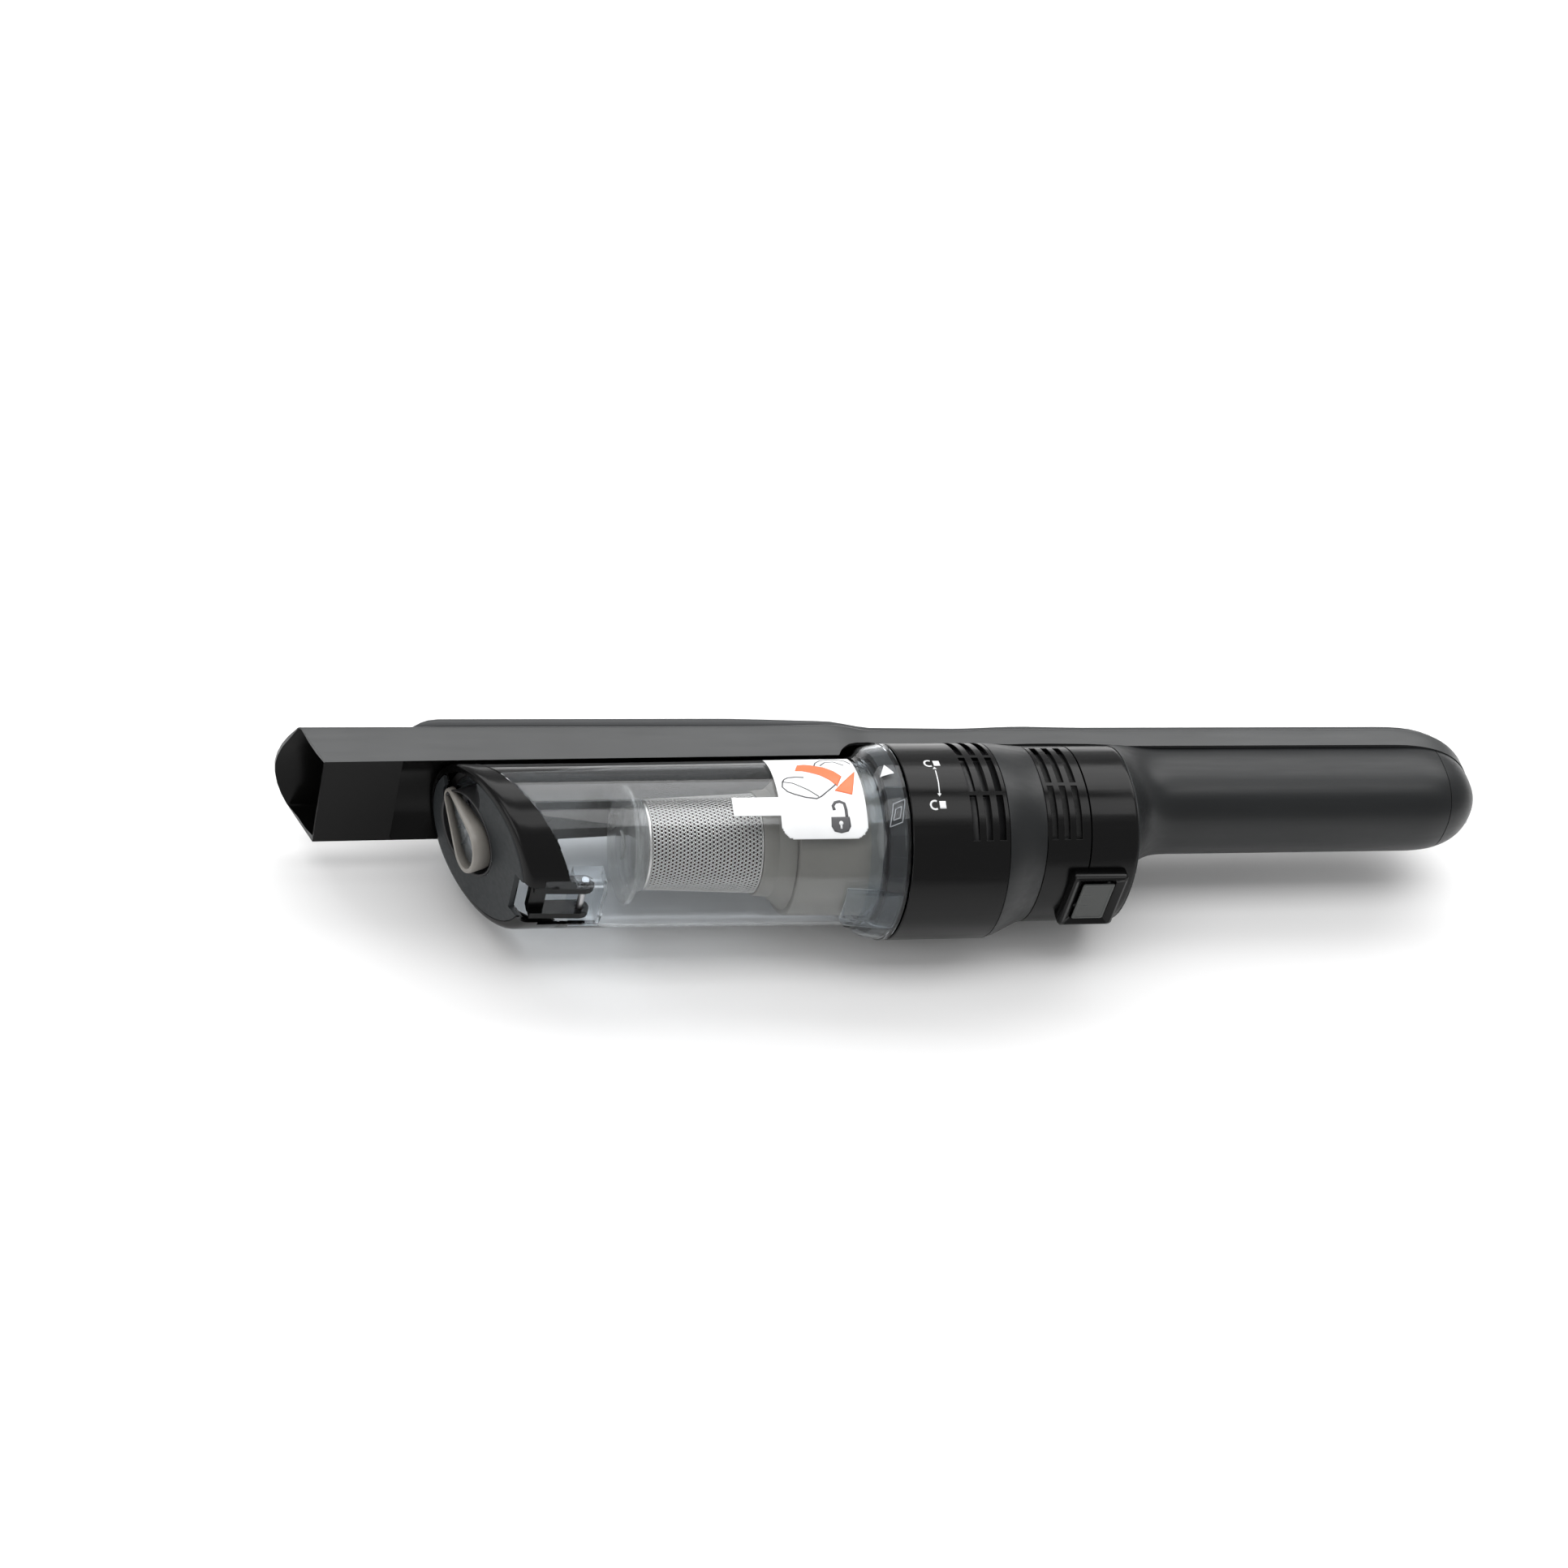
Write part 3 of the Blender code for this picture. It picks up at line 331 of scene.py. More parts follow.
class Sheet:
    """Points and faces in axis millimetres, gathered into one mesh piece."""

    def __init__(self):
        self.points = []
        self.faces = []
        self.kinds = []

    def row(self, points):
        start = len(self.points)
        self.points.extend(points)
        return list(range(start, start + len(points)))

    def face(self, corners, kind=0):
        self.faces.append(tuple(corners))
        self.kinds.append(kind)

    def grid(self, rows, wrap=False, kind=0, skip=None):
        """Quads between rows; skip(i, j) leaves a cell open."""
        lines = [self.row(row) for row in rows]
        for i in range(len(lines) - 1):
            a, b = lines[i], lines[i + 1]
            count = len(a)
            for j in range(count if wrap else count - 1):
                k = (j + 1) % count
                if skip is None or not skip(i, j):
                    self.face((a[j], a[k], b[k], b[j]), kind)

    def fan(self, loop):
        self.face(self.row(loop))

    def piece(self, name, body, finishes, replaces=(), wall=0.0, bevel=0.0,
              sharp=SHARP_DEGREES, merge=0.01):
        """One object: welded, walled inwards, its edges softened, riding on its body."""
        bm = bmesh.new()
        verts = [bm.verts.new(place(p)) for p in self.points]
        for corners, kind in zip(self.faces, self.kinds):
            unique = list(dict.fromkeys(corners))
            if len(unique) > 2:
                made = bm.faces.new([verts[i] for i in unique])
                made.material_index = kind
        bmesh.ops.remove_doubles(bm, verts=bm.verts, dist=merge * MM)
        bmesh.ops.dissolve_degenerate(bm, dist=merge * MM * 0.5, edges=bm.edges)
        bmesh.ops.recalc_face_normals(bm, faces=bm.faces)
        mesh = bpy.data.meshes.new(name)
        bm.to_mesh(mesh)
        bm.free()
        for finish in finishes:
            mesh.materials.append(FINISH[finish])
        mesh.shade_smooth()
        mesh.set_sharp_from_angle(angle=math.radians(sharp))
        made = bpy.data.objects.new(name, mesh)
        bpy.context.scene.collection.objects.link(made)
        if wall:
            solid = made.modifiers.new("wall", "SOLIDIFY")
            solid.thickness = wall * MM
            solid.offset = -1.0
            solid.use_even_offset = True
            solid.thickness_clamp = 1.0
        if bevel:
            soft = made.modifiers.new("soft", "BEVEL")
            soft.width = bevel * MM
            soft.segments = 2
            soft.limit_method = "ANGLE"
            soft.angle_limit = math.radians(40)
            soft.harden_normals = True
        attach(made, body)
        if replaces:
            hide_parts(*replaces)
        return made


def smooth_between(x, stops):
    """Value at x on a smooth curve through (x, value) stops."""
    if x <= stops[0][0]:
        return stops[0][1]
    for (x0, v0), (x1, v1) in zip(stops, stops[1:]):
        if x <= x1:
            t = (x - x0) / (x1 - x0)
            return v0 + (v1 - v0) * t * t * (3 - 2 * t)
    return stops[-1][1]


def span(start, end, count):
    return [start + (end - start) * i / count for i in range(count + 1)]


def signed_power(value, power):
    return math.copysign(abs(value) ** power, value)


def ring(x, radius, count=96, slope=0.0):
    """Circle about the bin's axis, leaning along X by its slope."""
    points = []
    for i in range(count):
        angle = 2 * math.pi * i / count
        up = radius * math.cos(angle)
        points.append((x + slope * up, up, radius * math.sin(angle)))
    return points


def turned(sheet, profile, count=96):
    """Surface of revolution about the bin's axis, from (x, radius) points."""
    sheet.grid([ring(x, r, count) for x, r in profile], True)


def turned_piece(name, body, finish, node, profile, count=96):
    """Piece made of one surface of revolution."""
    sheet = Sheet()
    turned(sheet, profile, count)
    return sheet.piece(name, body, (finish,), (node,))


def round_point(x, radius, lean):
    """Point at a radius from the bin's axis, its lean in radians from -Y towards +Z."""
    return (x, -radius * math.cos(lean), radius * math.sin(lean))


def arc(centre_x, centre_r, radius, start, end, count=6):
    """Rounded corner of a turned profile, angles in degrees from +X towards larger radius."""
    points = []
    for i in range(count + 1):
        angle = math.radians(start + (end - start) * i / count)
        points.append((centre_x + radius * math.cos(angle), centre_r + radius * math.sin(angle)))
    return points


# ---------------------------------------------------------------- spine

def spine_width(x):
    return smooth_between(x, ((-20, DUCT_WIDTH), (4, 20.0), (38, 20.0), (78, BAND_WIDTH)))


def spine_low(x):
    if x <= -18.0:
        return DUCT_LOW + 2.6 * (x - MOUTH_X) / (-18.0 - MOUTH_X)
    sweep = ((-18.0, 28.0), (-15.8, 31.8), (-12.0, 35.2), (-8.0, 37.0), (-2, 38.4), (42, 38.4))
    return piecewise(x, sweep + ((62, 36.2), (103, 35.5), (112, BAND_LOW)))


def piecewise(x, stops):
    if x <= stops[0][0]:
        return stops[0][1]
    for (x0, v0), (x1, v1) in zip(stops, stops[1:]):
        if x <= x1:
            return v0 + (v1 - v0) * (x - x0) / (x1 - x0)
    return stops[-1][1]


def spine_edge(x):
    return smooth_between(x, ((-60, DUCT_HIGH), (-4, 47.0), (50, 46.6), (100, 45.2)))


def arch(x):
    """Open section over the spine from its +Z rim to its -Z rim, as (y, z)."""
    width = spine_width(x)
    edge = spine_edge(x)
    radius = 1.9
    half = [(spine_low(x) + (edge - radius - spine_low(x)) * t, width) for t in (0.0, 0.33, 0.66)]
    for i in range(6):
        angle = math.radians(90 * i / 5)
        half.append((edge - radius + radius * math.sin(angle), width - radius + radius * math.cos(angle)))
    inner = width - radius
    for share in (0.75, 0.5, 0.25):
        half.append((edge + CROWN * (1 - share * share) * 0.97, share * inner))
    return half + [(edge + CROWN, 0.0)] + [(y, -z) for y, z in reversed(half)]


def floor_points(x, saddle):
    """Duct underside from the +Z rim to the -Z rim."""
    width = spine_width(x)
    low = spine_low(x)
    radius = math.hypot(width, low) + 0.3
    points = []
    count = 16
    for i in range(count + 1):
        z = width - 2 * width * i / count
        height = math.sqrt(max(radius * radius - z * z, low * low)) if saddle else low
        if i in (0, count):
            height = low
        points.append((x, height, z))
    return points


def end_scale(x):
    reach = max(0.0, (x - END_START) / (END_TIP - END_START))
    return max(0.0, 1 - reach ** END_POWER) ** (1 / END_POWER)


def grip_scale(x):
    start, tip, power = GRIP_END
    reach = min(1.0, max(0.0, (x - start) / (tip - start)))
    return (1 - reach ** power) ** (1 / power)


def rounded(x, points, centre, scale_at=end_scale):
    scale = scale_at(x)
    return [(x, centre + (y - centre) * scale, z * scale) for y, z in points]


def end_stations(first, last=END_TIP, count=20):
    """Stations that crowd towards the tip, where the surface turns over."""
    start = math.acos(min(1.0, max(0.0, (first - END_START) / (END_TIP - END_START))))
    stops = []
    for i in range(count + 1):
        share = math.cos(start * (1 - i / count))
        stops.append(END_START + (END_TIP - END_START) * share)
    return [x for x in stops if x < last - 0.01] + [last]


def mouth_shift(y, z):
    """How far forward of the mouth's lower edge a point of the rim lies."""
    rise = (y - DUCT_LOW) / (DUCT_HIGH + CROWN - DUCT_LOW)
    return MOUTH_SLANT * rise + MOUTH_BULGE * rise * (1 - (z / DUCT_WIDTH) ** 2)


def make_spine():
    """One moulding: square duct, neck and handle band; its underside and the inner face of its wall, the
    airway, are near black as painted shade under and inside the duct.
    """
    sheet = Sheet()
    stations = [MOUTH_X, -232, -224, -212, SADDLE_X - 0.6, SADDLE_X]
    stations += span(-190, -24, 12) + [-20, -18, -17, -16, -15, -14, -12, -10, -8, -6, -4, -2, 2, 8]
    stations += span(16, 232, 24) + end_stations(END_START)
    rows = []
    for x in stations:
        if x == MOUTH_X:
            rows.append([(x - mouth_shift(y, z), y, z) for y, z in arch(x)])
        else:
            rows.append(rounded(x, arch(x), END_Y + 0.2))
    sheet.grid(rows)
    low = []
    for x in stations:
        if x <= -18:
            low.append(floor_points(x, x >= SADDLE_X))
    # The underside rows take the near-black finish: painted shade under the duct.
    sheet.grid(low, kind=1)
    made = sheet.piece("spine", "root", ("satin_grey", "under_black"),
                       ("intake_duct", "spine_shell"), wall=SHELL, bevel=0.35)
    solid = made.modifiers["wall"]
    solid.use_rim = True
    # The wall's inner face, the airway, takes the near-black finish as well: painted shade inside the
    # duct.
    made.data.materials.append(FINISH["under_black"])
    solid.material_offset = 2
    return made


def cover_arch(x):
    """Section of the raised strip along the spine's back, with rounded shoulders."""
    tip = max(0.0, min(1.0, (x + 201.0) / 15.0))
    swell = math.sqrt(1 - (1 - tip) ** 2)
    width = (spine_width(x) - 2.6) * (0.35 + 0.65 * swell)
    seat = spine_edge(x) + CROWN * (1 - (width / spine_width(x)) ** 2) + GAP
    rise = smooth_between(x, ((-66, 6.7), (-4, 3.9), (60, 3.6)))
    edge = seat + (spine_edge(x) + rise - seat) * (0.35 + 0.65 * swell)
    crown = 3.2 * swell
    radius = min(1.5, (edge - seat) * 0.6)
    half = [(seat, width), (edge - radius, width)]
    for i in range(1, 6):
        angle = math.radians(90 * i / 5)
        half.append((edge - radius + radius * math.sin(angle), width - radius + radius * math.cos(angle)))
    inner = width - radius
    for share in (0.75, 0.5, 0.25):
        half.append((edge + crown * (1 - share * share), share * inner))
    return half + [(edge + crown, 0.0)] + [(y, -z) for y, z in reversed(half)]


def make_cover():
    sheet = Sheet()
    stations = [-201, -200.5, -199.5, -198, -196, -193, -190, -186] + span(-176, -66, 8)
    stations += span(-60, 64, 20) + span(72, 232, 12)
    stations += end_stations(END_START, 272.0, 12)
    rows = [rounded(x, cover_arch(x), END_Y) for x in stations]
    sheet.grid(rows)
    sheet.fan(rows[0])
    sheet.fan(rows[-1])
    return sheet.piece("back_cover", "root", ("cover_grey",), ("top_cover",), wall=1.2)


# ---------------------------------------------------------------- handle

def mixed_oval(share):
    return tuple(g + (r - g) * share for g, r in zip(GRIP_OVAL, REAR_OVAL))


def grip_arc(oval, steps=44):
    centre, high, wide, power = oval
    top = BAND_LOW - GAP
    start = math.asin(min(1.0, (top - centre) / high) ** (power / 2))
    points = []
    for i in range(steps + 1):
        angle = start - (math.pi + 2 * start) * i / steps
        y = centre + high * signed_power(math.sin(angle), 2 / power)
        z = wide * signed_power(math.cos(angle), 2 / power)
        points.append((y, z))
    points[0] = (top, points[0][1])
    points[-1] = (top, points[-1][1])
    return points


def grip_row(x):
    reach = min(1.0, max(0.0, (x - REAR_END - GAP) / FLARE_LENGTH))
    return rounded(x, grip_arc(mixed_oval((1 - reach) ** 3.2)), END_Y - 0.2, grip_scale)


def make_grip():
    sheet = Sheet()
    start = REAR_END + GAP
    stations = [start + FLARE_LENGTH * (i / 22) ** 1.5 for i in range(23)]
    stations += span(146, 250, 8) + [253, 256, 259, 262, CAP_X]
    sheet.grid([grip_row(x) for x in stations])
    return sheet.piece("grip", "root", ("satin_charcoal",), ("handle_grip",),
                       wall=1.9, bevel=0.25)


def make_end_cap():
    sheet = Sheet()
    tip = GRIP_END[1]
    sheet.grid([grip_row(tip - (tip - CAP_X - GAP) * (1 - i / 14) ** 2) for i in range(15)])
    return sheet.piece("end_cap", "root", ("satin_charcoal",), ("handle_end_cap",),
                       wall=1.9, bevel=0.25)


# ---------------------------------------------------------------- motor housing

def degrees_row(x, radius_at, angles):
    """Points round the housing at angles in degrees from -Y towards +Z."""
    return [round_point(x, radius_at(angle), math.radians(angle)) for angle in angles]


def oval_radius(oval, angle, grow=0.0):
    """Distance from the bin's axis to an oval at an angle, found by stepping outwards."""
    centre, high, wide, power = oval
    up = -math.cos(math.radians(angle))
    side = math.sin(math.radians(angle))
    low, top = 0.0, 90.0
    for _ in range(30):
        middle = (low + top) / 2
        inside = (abs((middle * up - centre) / (high + grow)) ** power
                  + abs(middle * side / (wide + grow)) ** power)
        low, top = (middle, top) if inside < 1 else (low, middle)
    return low


def vent_angles(segments):
    """Angles all round that include each vent segment's ends on both sides, and whether each cell is
    part of a vent."""
    edges = []
    for start, end in segments:
        edges.append((start, end))
        edges.append((360 - end, 360 - start))
    angles = sorted({a for pair in edges for a in pair} | set(range(0, 360, 5)))
    angles = [a for i, a in enumerate(angles) if i == 0 or a - angles[i - 1] > 0.4
              or any(a in pair for pair in edges)]
    open_cell = []
    for a, b in zip(angles, angles[1:] + [360]):
        middle = (a + b) / 2
        open_cell.append(any(start < middle < end for start, end in edges))
    return angles, open_cell


def vented(name, node, xs, slots, segments, radius_at, finish, wall):
    """Round shell whose slots are open cells of its grid."""
    sheet = Sheet()
    angles, open_cell = vent_angles(segments)
    stops = sorted(set(xs) | {x for pair in slots for x in pair})
    rows = [degrees_row(x, lambda a, x=x: radius_at(x, a), angles) for x in stops]

    def skip(i, j):
        middle = (stops[i] + stops[i + 1]) / 2
        return open_cell[j] and any(a < middle < b for a, b in slots)

    sheet.grid(rows, True, skip=skip)
    return sheet.piece(name, "root", (finish,), (node,), wall=wall, bevel=0.3)


def make_front_housing():
    slots = [(x - FRONT_VENT_HALF, x + FRONT_VENT_HALF) for x in FRONT_VENTS]
    segments = ((48, 75), (77.5, 105), (107.5, 134))

    def radius_at(x, angle):
        return HOUSING_R - (0.5 if x < 0.5 else 0.0)

    return vented("front_housing", "motor_housing", (0.35, 0.8, 10, 20, 42.6, 43.0), slots,
                  segments, radius_at, "gloss_black", 2.0)


def make_taper():
    sheet = Sheet()
    angles = list(range(0, 360, 4))
    rows = []
    for x in (TAPER[0], 43.8, 47, 51, 55, 59, 61.6, TAPER[1]):
        t = (x - TAPER[0]) / (TAPER[1] - TAPER[0])
        share = t * t * (3 - 2 * t) * 0.5 + t * 0.5

        def radius_at(angle):
            rear = oval_radius(REAR_OVAL, angle)
            return HOUSING_R + (rear - HOUSING_R) * share

        rows.append(degrees_row(x, radius_at, angles))
    sheet.grid(rows, True)
    return sheet.piece("taper_ring", "root", ("satin_charcoal",),
                       ("motor_taper_ring",), wall=1.9, bevel=0.25)


def make_rear_housing():
    slots = [(x - REAR_VENT_HALF, x + REAR_VENT_HALF) for x in REAR_VENTS]
    segments = ((48, 86), (89, 127))

    def radius_at(x, angle):
        return oval_radius(REAR_OVAL, angle)

    return vented("rear_housing", "motor_housing_rear", (62.3, 62.7, 80.9, 81.5), slots, segments,
                  radius_at, "gloss_black", 1.9)


def make_vent_shade_sleeves():
    """Painted shade: near-black sleeves close behind the vents, standing in for the shade inside the
    housing.
    """
    for name, ends, radius in (("front_vent_shade", (24.0, 42.8), HOUSING_R - 3.0),
                               ("rear_vent_shade", (63.0, 84.5), REAR_OVAL[1] - 3.4)):
        sheet = Sheet()
        sheet.grid([degrees_row(x, lambda a, r=radius: r, range(40, 140, 4)) for x in ends])
        sheet.piece(name, "root", ("inner_black",), wall=0.4)


def make_rear_cap():
    """Cap with a window for the release button in its underside."""
    angles = sorted(set(range(0, 360, 4)) | {BUTTON_WINDOW, 360 - BUTTON_WINDOW})
    xs = (82.1, 82.6, 86.0, 98.3, 101.4, 102.4, 103.0, 103.2)
    sheet = Sheet()
    rows = []
    for x in xs:
        grow = -1.0 if x > 103.1 else (-0.25 if x > 102.9 else 0.0)
        rows.append(degrees_row(x, lambda a, g=grow: oval_radius(REAR_OVAL, a, g), angles))

    def skip(i, j):
        a = angles[j]
        beside = BUTTON_WINDOW - 0.1
        return 85.9 < xs[i] < 98.2 and (a < beside or a >= 360 - BUTTON_WINDOW - 0.1)

    sheet.grid(rows, True, skip=skip)
    return sheet.piece("rear_cap_shell", "root", ("gloss_black",), ("rear_cap",),
                       wall=1.9, bevel=0.2)


def rounded_rectangle(half_x, half_z, radius, count=5):
    loop = []
    for corner, (sx, sz) in enumerate(((1, 1), (-1, 1), (-1, -1), (1, -1))):
        for i in range(count + 1):
            angle = math.radians(90 * corner + 90 * i / count)
            loop.append((sx * (half_x - radius) + radius * math.cos(angle),
                         sz * (half_z - radius) + radius * math.sin(angle)))
    return loop


def make_guard():
    """Raised frame round the release button, its foot following the housing."""
    sheet = Sheet()
    rows = []
    for half_x, half_z, radius, y in ((12.4, 15.2, 1.8, None), (12.4, 15.2, 1.8, -34.7),
                                      (12.0, 14.9, 1.7, -35.6), (11.0, 14.0, 1.5, -36.1),
                                      (8.2, 11.9, 1.2, -34.9), (7.7, 11.5, 1.0, -34.4),
                                      (7.5, 11.3, 0.9, -32.4)):
        row = []
        for x, z in rounded_rectangle(half_x, half_z, radius):
            foot = REAR_OVAL[0] - REAR_OVAL[1] * (1 - abs(z / REAR_OVAL[2]) ** 2.2) ** (1 / 2.2) - 0.1
            row.append((RELEASE_X + x, foot if y is None else y, z))
        rows.append(row)
    sheet.grid(rows, True)
    return sheet.piece("release_frame", "root", ("gloss_black",), ("release_guard",),
                       wall=0.8, sharp=28)


def make_release_plate():
    """Plate of the release button, its middle 0.2 mm below its rounded rim."""
    sheet = Sheet()
    rows = []
    for half_x, half_z, radius, y in ((7.1, 10.9, 1.0, -35.1), (7.1, 10.9, 1.0, -35.5),
                                      (6.9, 10.7, 0.9, -35.7), (6.2, 10.0, 0.8, -35.8),
                                      (5.9, 9.7, 0.7, -35.6), (5.7, 9.5, 0.6, -35.6)):
        rows.append([(RELEASE_X + x, y, z) for x, z in rounded_rectangle(half_x, half_z, radius)])
    sheet.grid(rows, True)
    sheet.fan(rows[-1])
    return sheet.piece("release_plate", "release", ("release_grey",),
                       ("release_button",), wall=0.4)


def mark(name, body, finish, shapes, radius_at, lift=0.06, longest=1.5):
    """Flat printed shapes wrapped on a round surface: outlines of (x, degrees), cut up finely."""
    bm = bmesh.new()
    for outline in shapes:
        corners = [bm.verts.new((x, math.radians(angle) * HOUSING_R, 0)) for x, angle in outline]
        bm.faces.new(corners)
    bmesh.ops.triangulate(bm, faces=bm.faces)
    for _ in range(5):
        long_edges = [e for e in bm.edges if e.calc_length() > longest]
        if long_edges:
            bmesh.ops.subdivide_edges(bm, edges=long_edges, cuts=1)
            bmesh.ops.triangulate(bm, faces=bm.faces)
    sheet = Sheet()
    for face in bm.faces:
        points = []
        for vert in face.verts:
            lean = vert.co.y / HOUSING_R
            points.append(round_point(vert.co.x, radius_at(vert.co.x) + lift, lean))
        if face.normal.z < 0:
            points.reverse()
        sheet.fan(points)
    bm.free()
    return sheet.piece(name, body, (finish,), wall=0.04, merge=0.001)


def band(points, width, per_degree):
    """Four-cornered shapes of a line of even width along (x, degrees) points."""
    left = []
    right = []
    for i, (x, angle) in enumerate(points):
        x0, a0 = points[max(0, i - 1)]
        x1, a1 = points[min(len(points) - 1, i + 1)]
        dx = x1 - x0
        dy = (a1 - a0) * per_degree
        length = math.hypot(dx, dy) or 1.0
        nx = -dy / length * width / 2
        ny = dx / length * width / 2
        left.append((x + nx, angle + ny / per_degree))
        right.append((x - nx, angle - ny / per_degree))
    return strips(left, right)


def strips(left, right):
    return [(left[i], left[i + 1], right[i + 1], right[i]) for i in range(len(left) - 1)]


def circle_line(x, angle, radius, start, end, per_degree, count=14):
    points = []
    for i in range(count + 1):
        turn = math.radians(start + (end - start) * i / count)
        points.append((x + radius * math.cos(turn), angle + radius * math.sin(turn) / per_degree))
    return points


def make_housing_marks():
    per = HOUSING_R * math.pi / 180
    shapes = []
    for x, angle in ((14.6, 99.0), (12.9, 69.0)):
        shapes += band(circle_line(x - 2.0, angle, 1.9, 60, 300, per), 0.8, per)
        shapes.append(((x, angle - 2.2), (x + 2.8, angle - 2.2), (x + 2.8, angle + 2.4), (x, angle + 2.4)))
    shapes += band([(14.4, 93.0), (14.2, 84.0), (13.6, 76.0)], 0.45, per)
    shapes.append(((13.5, 94.0), (15.3, 94.0), (14.4, 96.0)))
    shapes.append(((12.7, 76.4), (14.5, 76.2), (13.4, 74.2)))
    return mark("housing_marks", "root", "print_white", shapes, lambda x: HOUSING_R)


# ---------------------------------------------------------------- bin

def bin_radius(x):
    return piecewise(x, ((-150, BIN_FRONT_R), (-16, BIN_REAR_R)))


def notch_cut(made, low, high):
    """Cut a square pocket out of a piece."""
    bm = bmesh.new()
    bmesh.ops.create_cube(bm, size=1.0)
    centre = (Vector(low) + Vector(high)) / 2
    size = Vector(high) - Vector(low)
    for vert in bm.verts:
        vert.co = place(centre + Vector((vert.co.x * size.x, vert.co.y * size.y, vert.co.z * size.z)))
    return apply_cut(made, bm)


def apply_cut(made, bm):
    """Take a cutter's shape out of a piece."""
    mesh = bpy.data.meshes.new("cutter")
    bm.to_mesh(mesh)
    bm.free()
    cutter = bpy.data.objects.new("cutter", mesh)
    bpy.context.scene.collection.objects.link(cutter)
    cut = made.modifiers.new("cut", "BOOLEAN")
    cut.operation = "DIFFERENCE"
    cut.solver = "EXACT"
    cut.object = cutter
    bpy.context.view_layer.update()
    graph = bpy.context.evaluated_depsgraph_get()
    result = bpy.data.meshes.new_from_object(made.evaluated_get(graph))
    made.modifiers.clear()
    made.data = result
    result.set_sharp_from_angle(angle=math.radians(SHARP_DEGREES))
    bpy.data.objects.remove(cutter)
    return made


def make_bin_tube():
    sheet = Sheet()
    count = 128
    outer = [ring(SEAM_X - 0.1, BIN_FRONT_R - 0.25, count, SEAM_SLOPE),
             ring(SEAM_X + 0.3, BIN_FRONT_R, count, SEAM_SLOPE)]
    inner = [ring(SEAM_X - 0.1, BIN_FRONT_R - BIN_WALL + 0.25, count, SEAM_SLOPE),
             ring(SEAM_X + 0.3, BIN_FRONT_R - BIN_WALL, count, SEAM_SLOPE)]
    for x in (-120, -90, -60, -30, -1.0):
        outer.append(ring(x, bin_radius(x), count))
        inner.append(ring(x, bin_radius(x) - BIN_WALL, count))
    sheet.grid(outer + list(reversed(inner)) + [outer[0]], True)
    tube = sheet.piece("clear_bin", "bin", ("clear_smoky",), ("bin_tube",))
    return notch_cut(tube, (-165, -40, -12.9), (-126.4, -22.0, 12.9))


def make_collar():
    """Clear flare that carries the bin onto the motor housing."""
    profile = [(-15.9, 35.7), (-15.7, 36.1), (-14.9, 36.2), (-13.4, 37.0), (-12.0, 38.2), (-10.6, 39.3),
               (-9.0, 40.1), (-6.0, 40.8), (-3.0, 41.3), (-2.6, 41.7), (-0.8, 41.75), (-0.4, 41.4),
               (-0.4, 40.2), (-4.0, 39.7), (-8.8, 38.9), (-10.6, 37.9), (-12.4, 36.2), (-15.9, 35.7)]
    return turned_piece("clear_collar", "bin", "clear_rim", "bin_collar", profile, 128)


def make_collar_marks():
    per = 41.0 * math.pi / 180
    shapes = [((-6.8, 99.3), (-3.7, 91.6), (-10.1, 89.7))]

    def radius_at(x):
        return piecewise(x, ((-12.0, 38.7), (-10.6, 39.8), (-9.0, 40.5), (-6.0, 41.0), (-3.0, 41.3)))

    mark("collar_triangle", "bin", "print_white", shapes, radius_at)
    corners = [(-6.9, 70.4), (-1.8, 73.0), (-3.9, 59.2), (-9.2, 56.6), (-6.9, 70.4)]
    inner = [(-6.2, 67.2), (-3.6, 68.6), (-4.8, 61.8), (-7.6, 60.4), (-6.2, 67.2)]
    shapes = []
    for loop in (corners, inner):
        for a, b in zip(loop, loop[1:]):
            shapes += band([a, ((a[0] + b[0]) / 2, (a[1] + b[1]) / 2), b], 0.34, per)
    return mark("collar_rhombus", "bin", "ledge_line", shapes, radius_at)


def make_collar_ledge():
    """Raised lug under the collar."""
    sheet = Sheet()
    rows = []
    for x, radius in ((-24.6, 35.6), (-24.2, 37.8), (-23.2, 39.2), (-15.0, 40.4), (-8.0, 41.2),
                      (-2.2, 41.6), (-1.6, 40.6)):
        row = []
        for angle in (-15.6, -15.0, -14.2, -9.0, -4.0, 0.0, 4.0, 9.0, 14.2, 15.0, 15.6):
            drop = 0.0 if abs(angle) < 14.6 else 0.5 if abs(angle) < 15.3 else 3.6
            row.append(round_point(x, max(radius - drop, 35.5), math.radians(angle)))
        rows.append(row)
    sheet.grid(rows)
    return sheet.piece("collar_ledge", "bin", ("clear_rim",), wall=0.5)


def label_outline():
    """Label's outline with its tab and two rounded corners, as (x, degrees)."""
    per = BIN_REAR_R * math.pi / 180
    loop = [(-16.8, 127.0), (-54.0, 127.0), (-54.0, 80.5)]
    loop += [(-73.6, 80.5), (-74.2, 79.5), (-74.2, 67.4), (-73.6, 66.4), (-54.0, 66.4)]
    for centre, start in ((-47.5, 180), (-23.3, 270)):
        for i in range(7):
            turn = math.radians(start + 90 * i / 6)
            loop.append((centre + LABEL_CORNER * math.cos(turn),
                         60.6 + LABEL_CORNER * math.sin(turn) / per))
    return loop


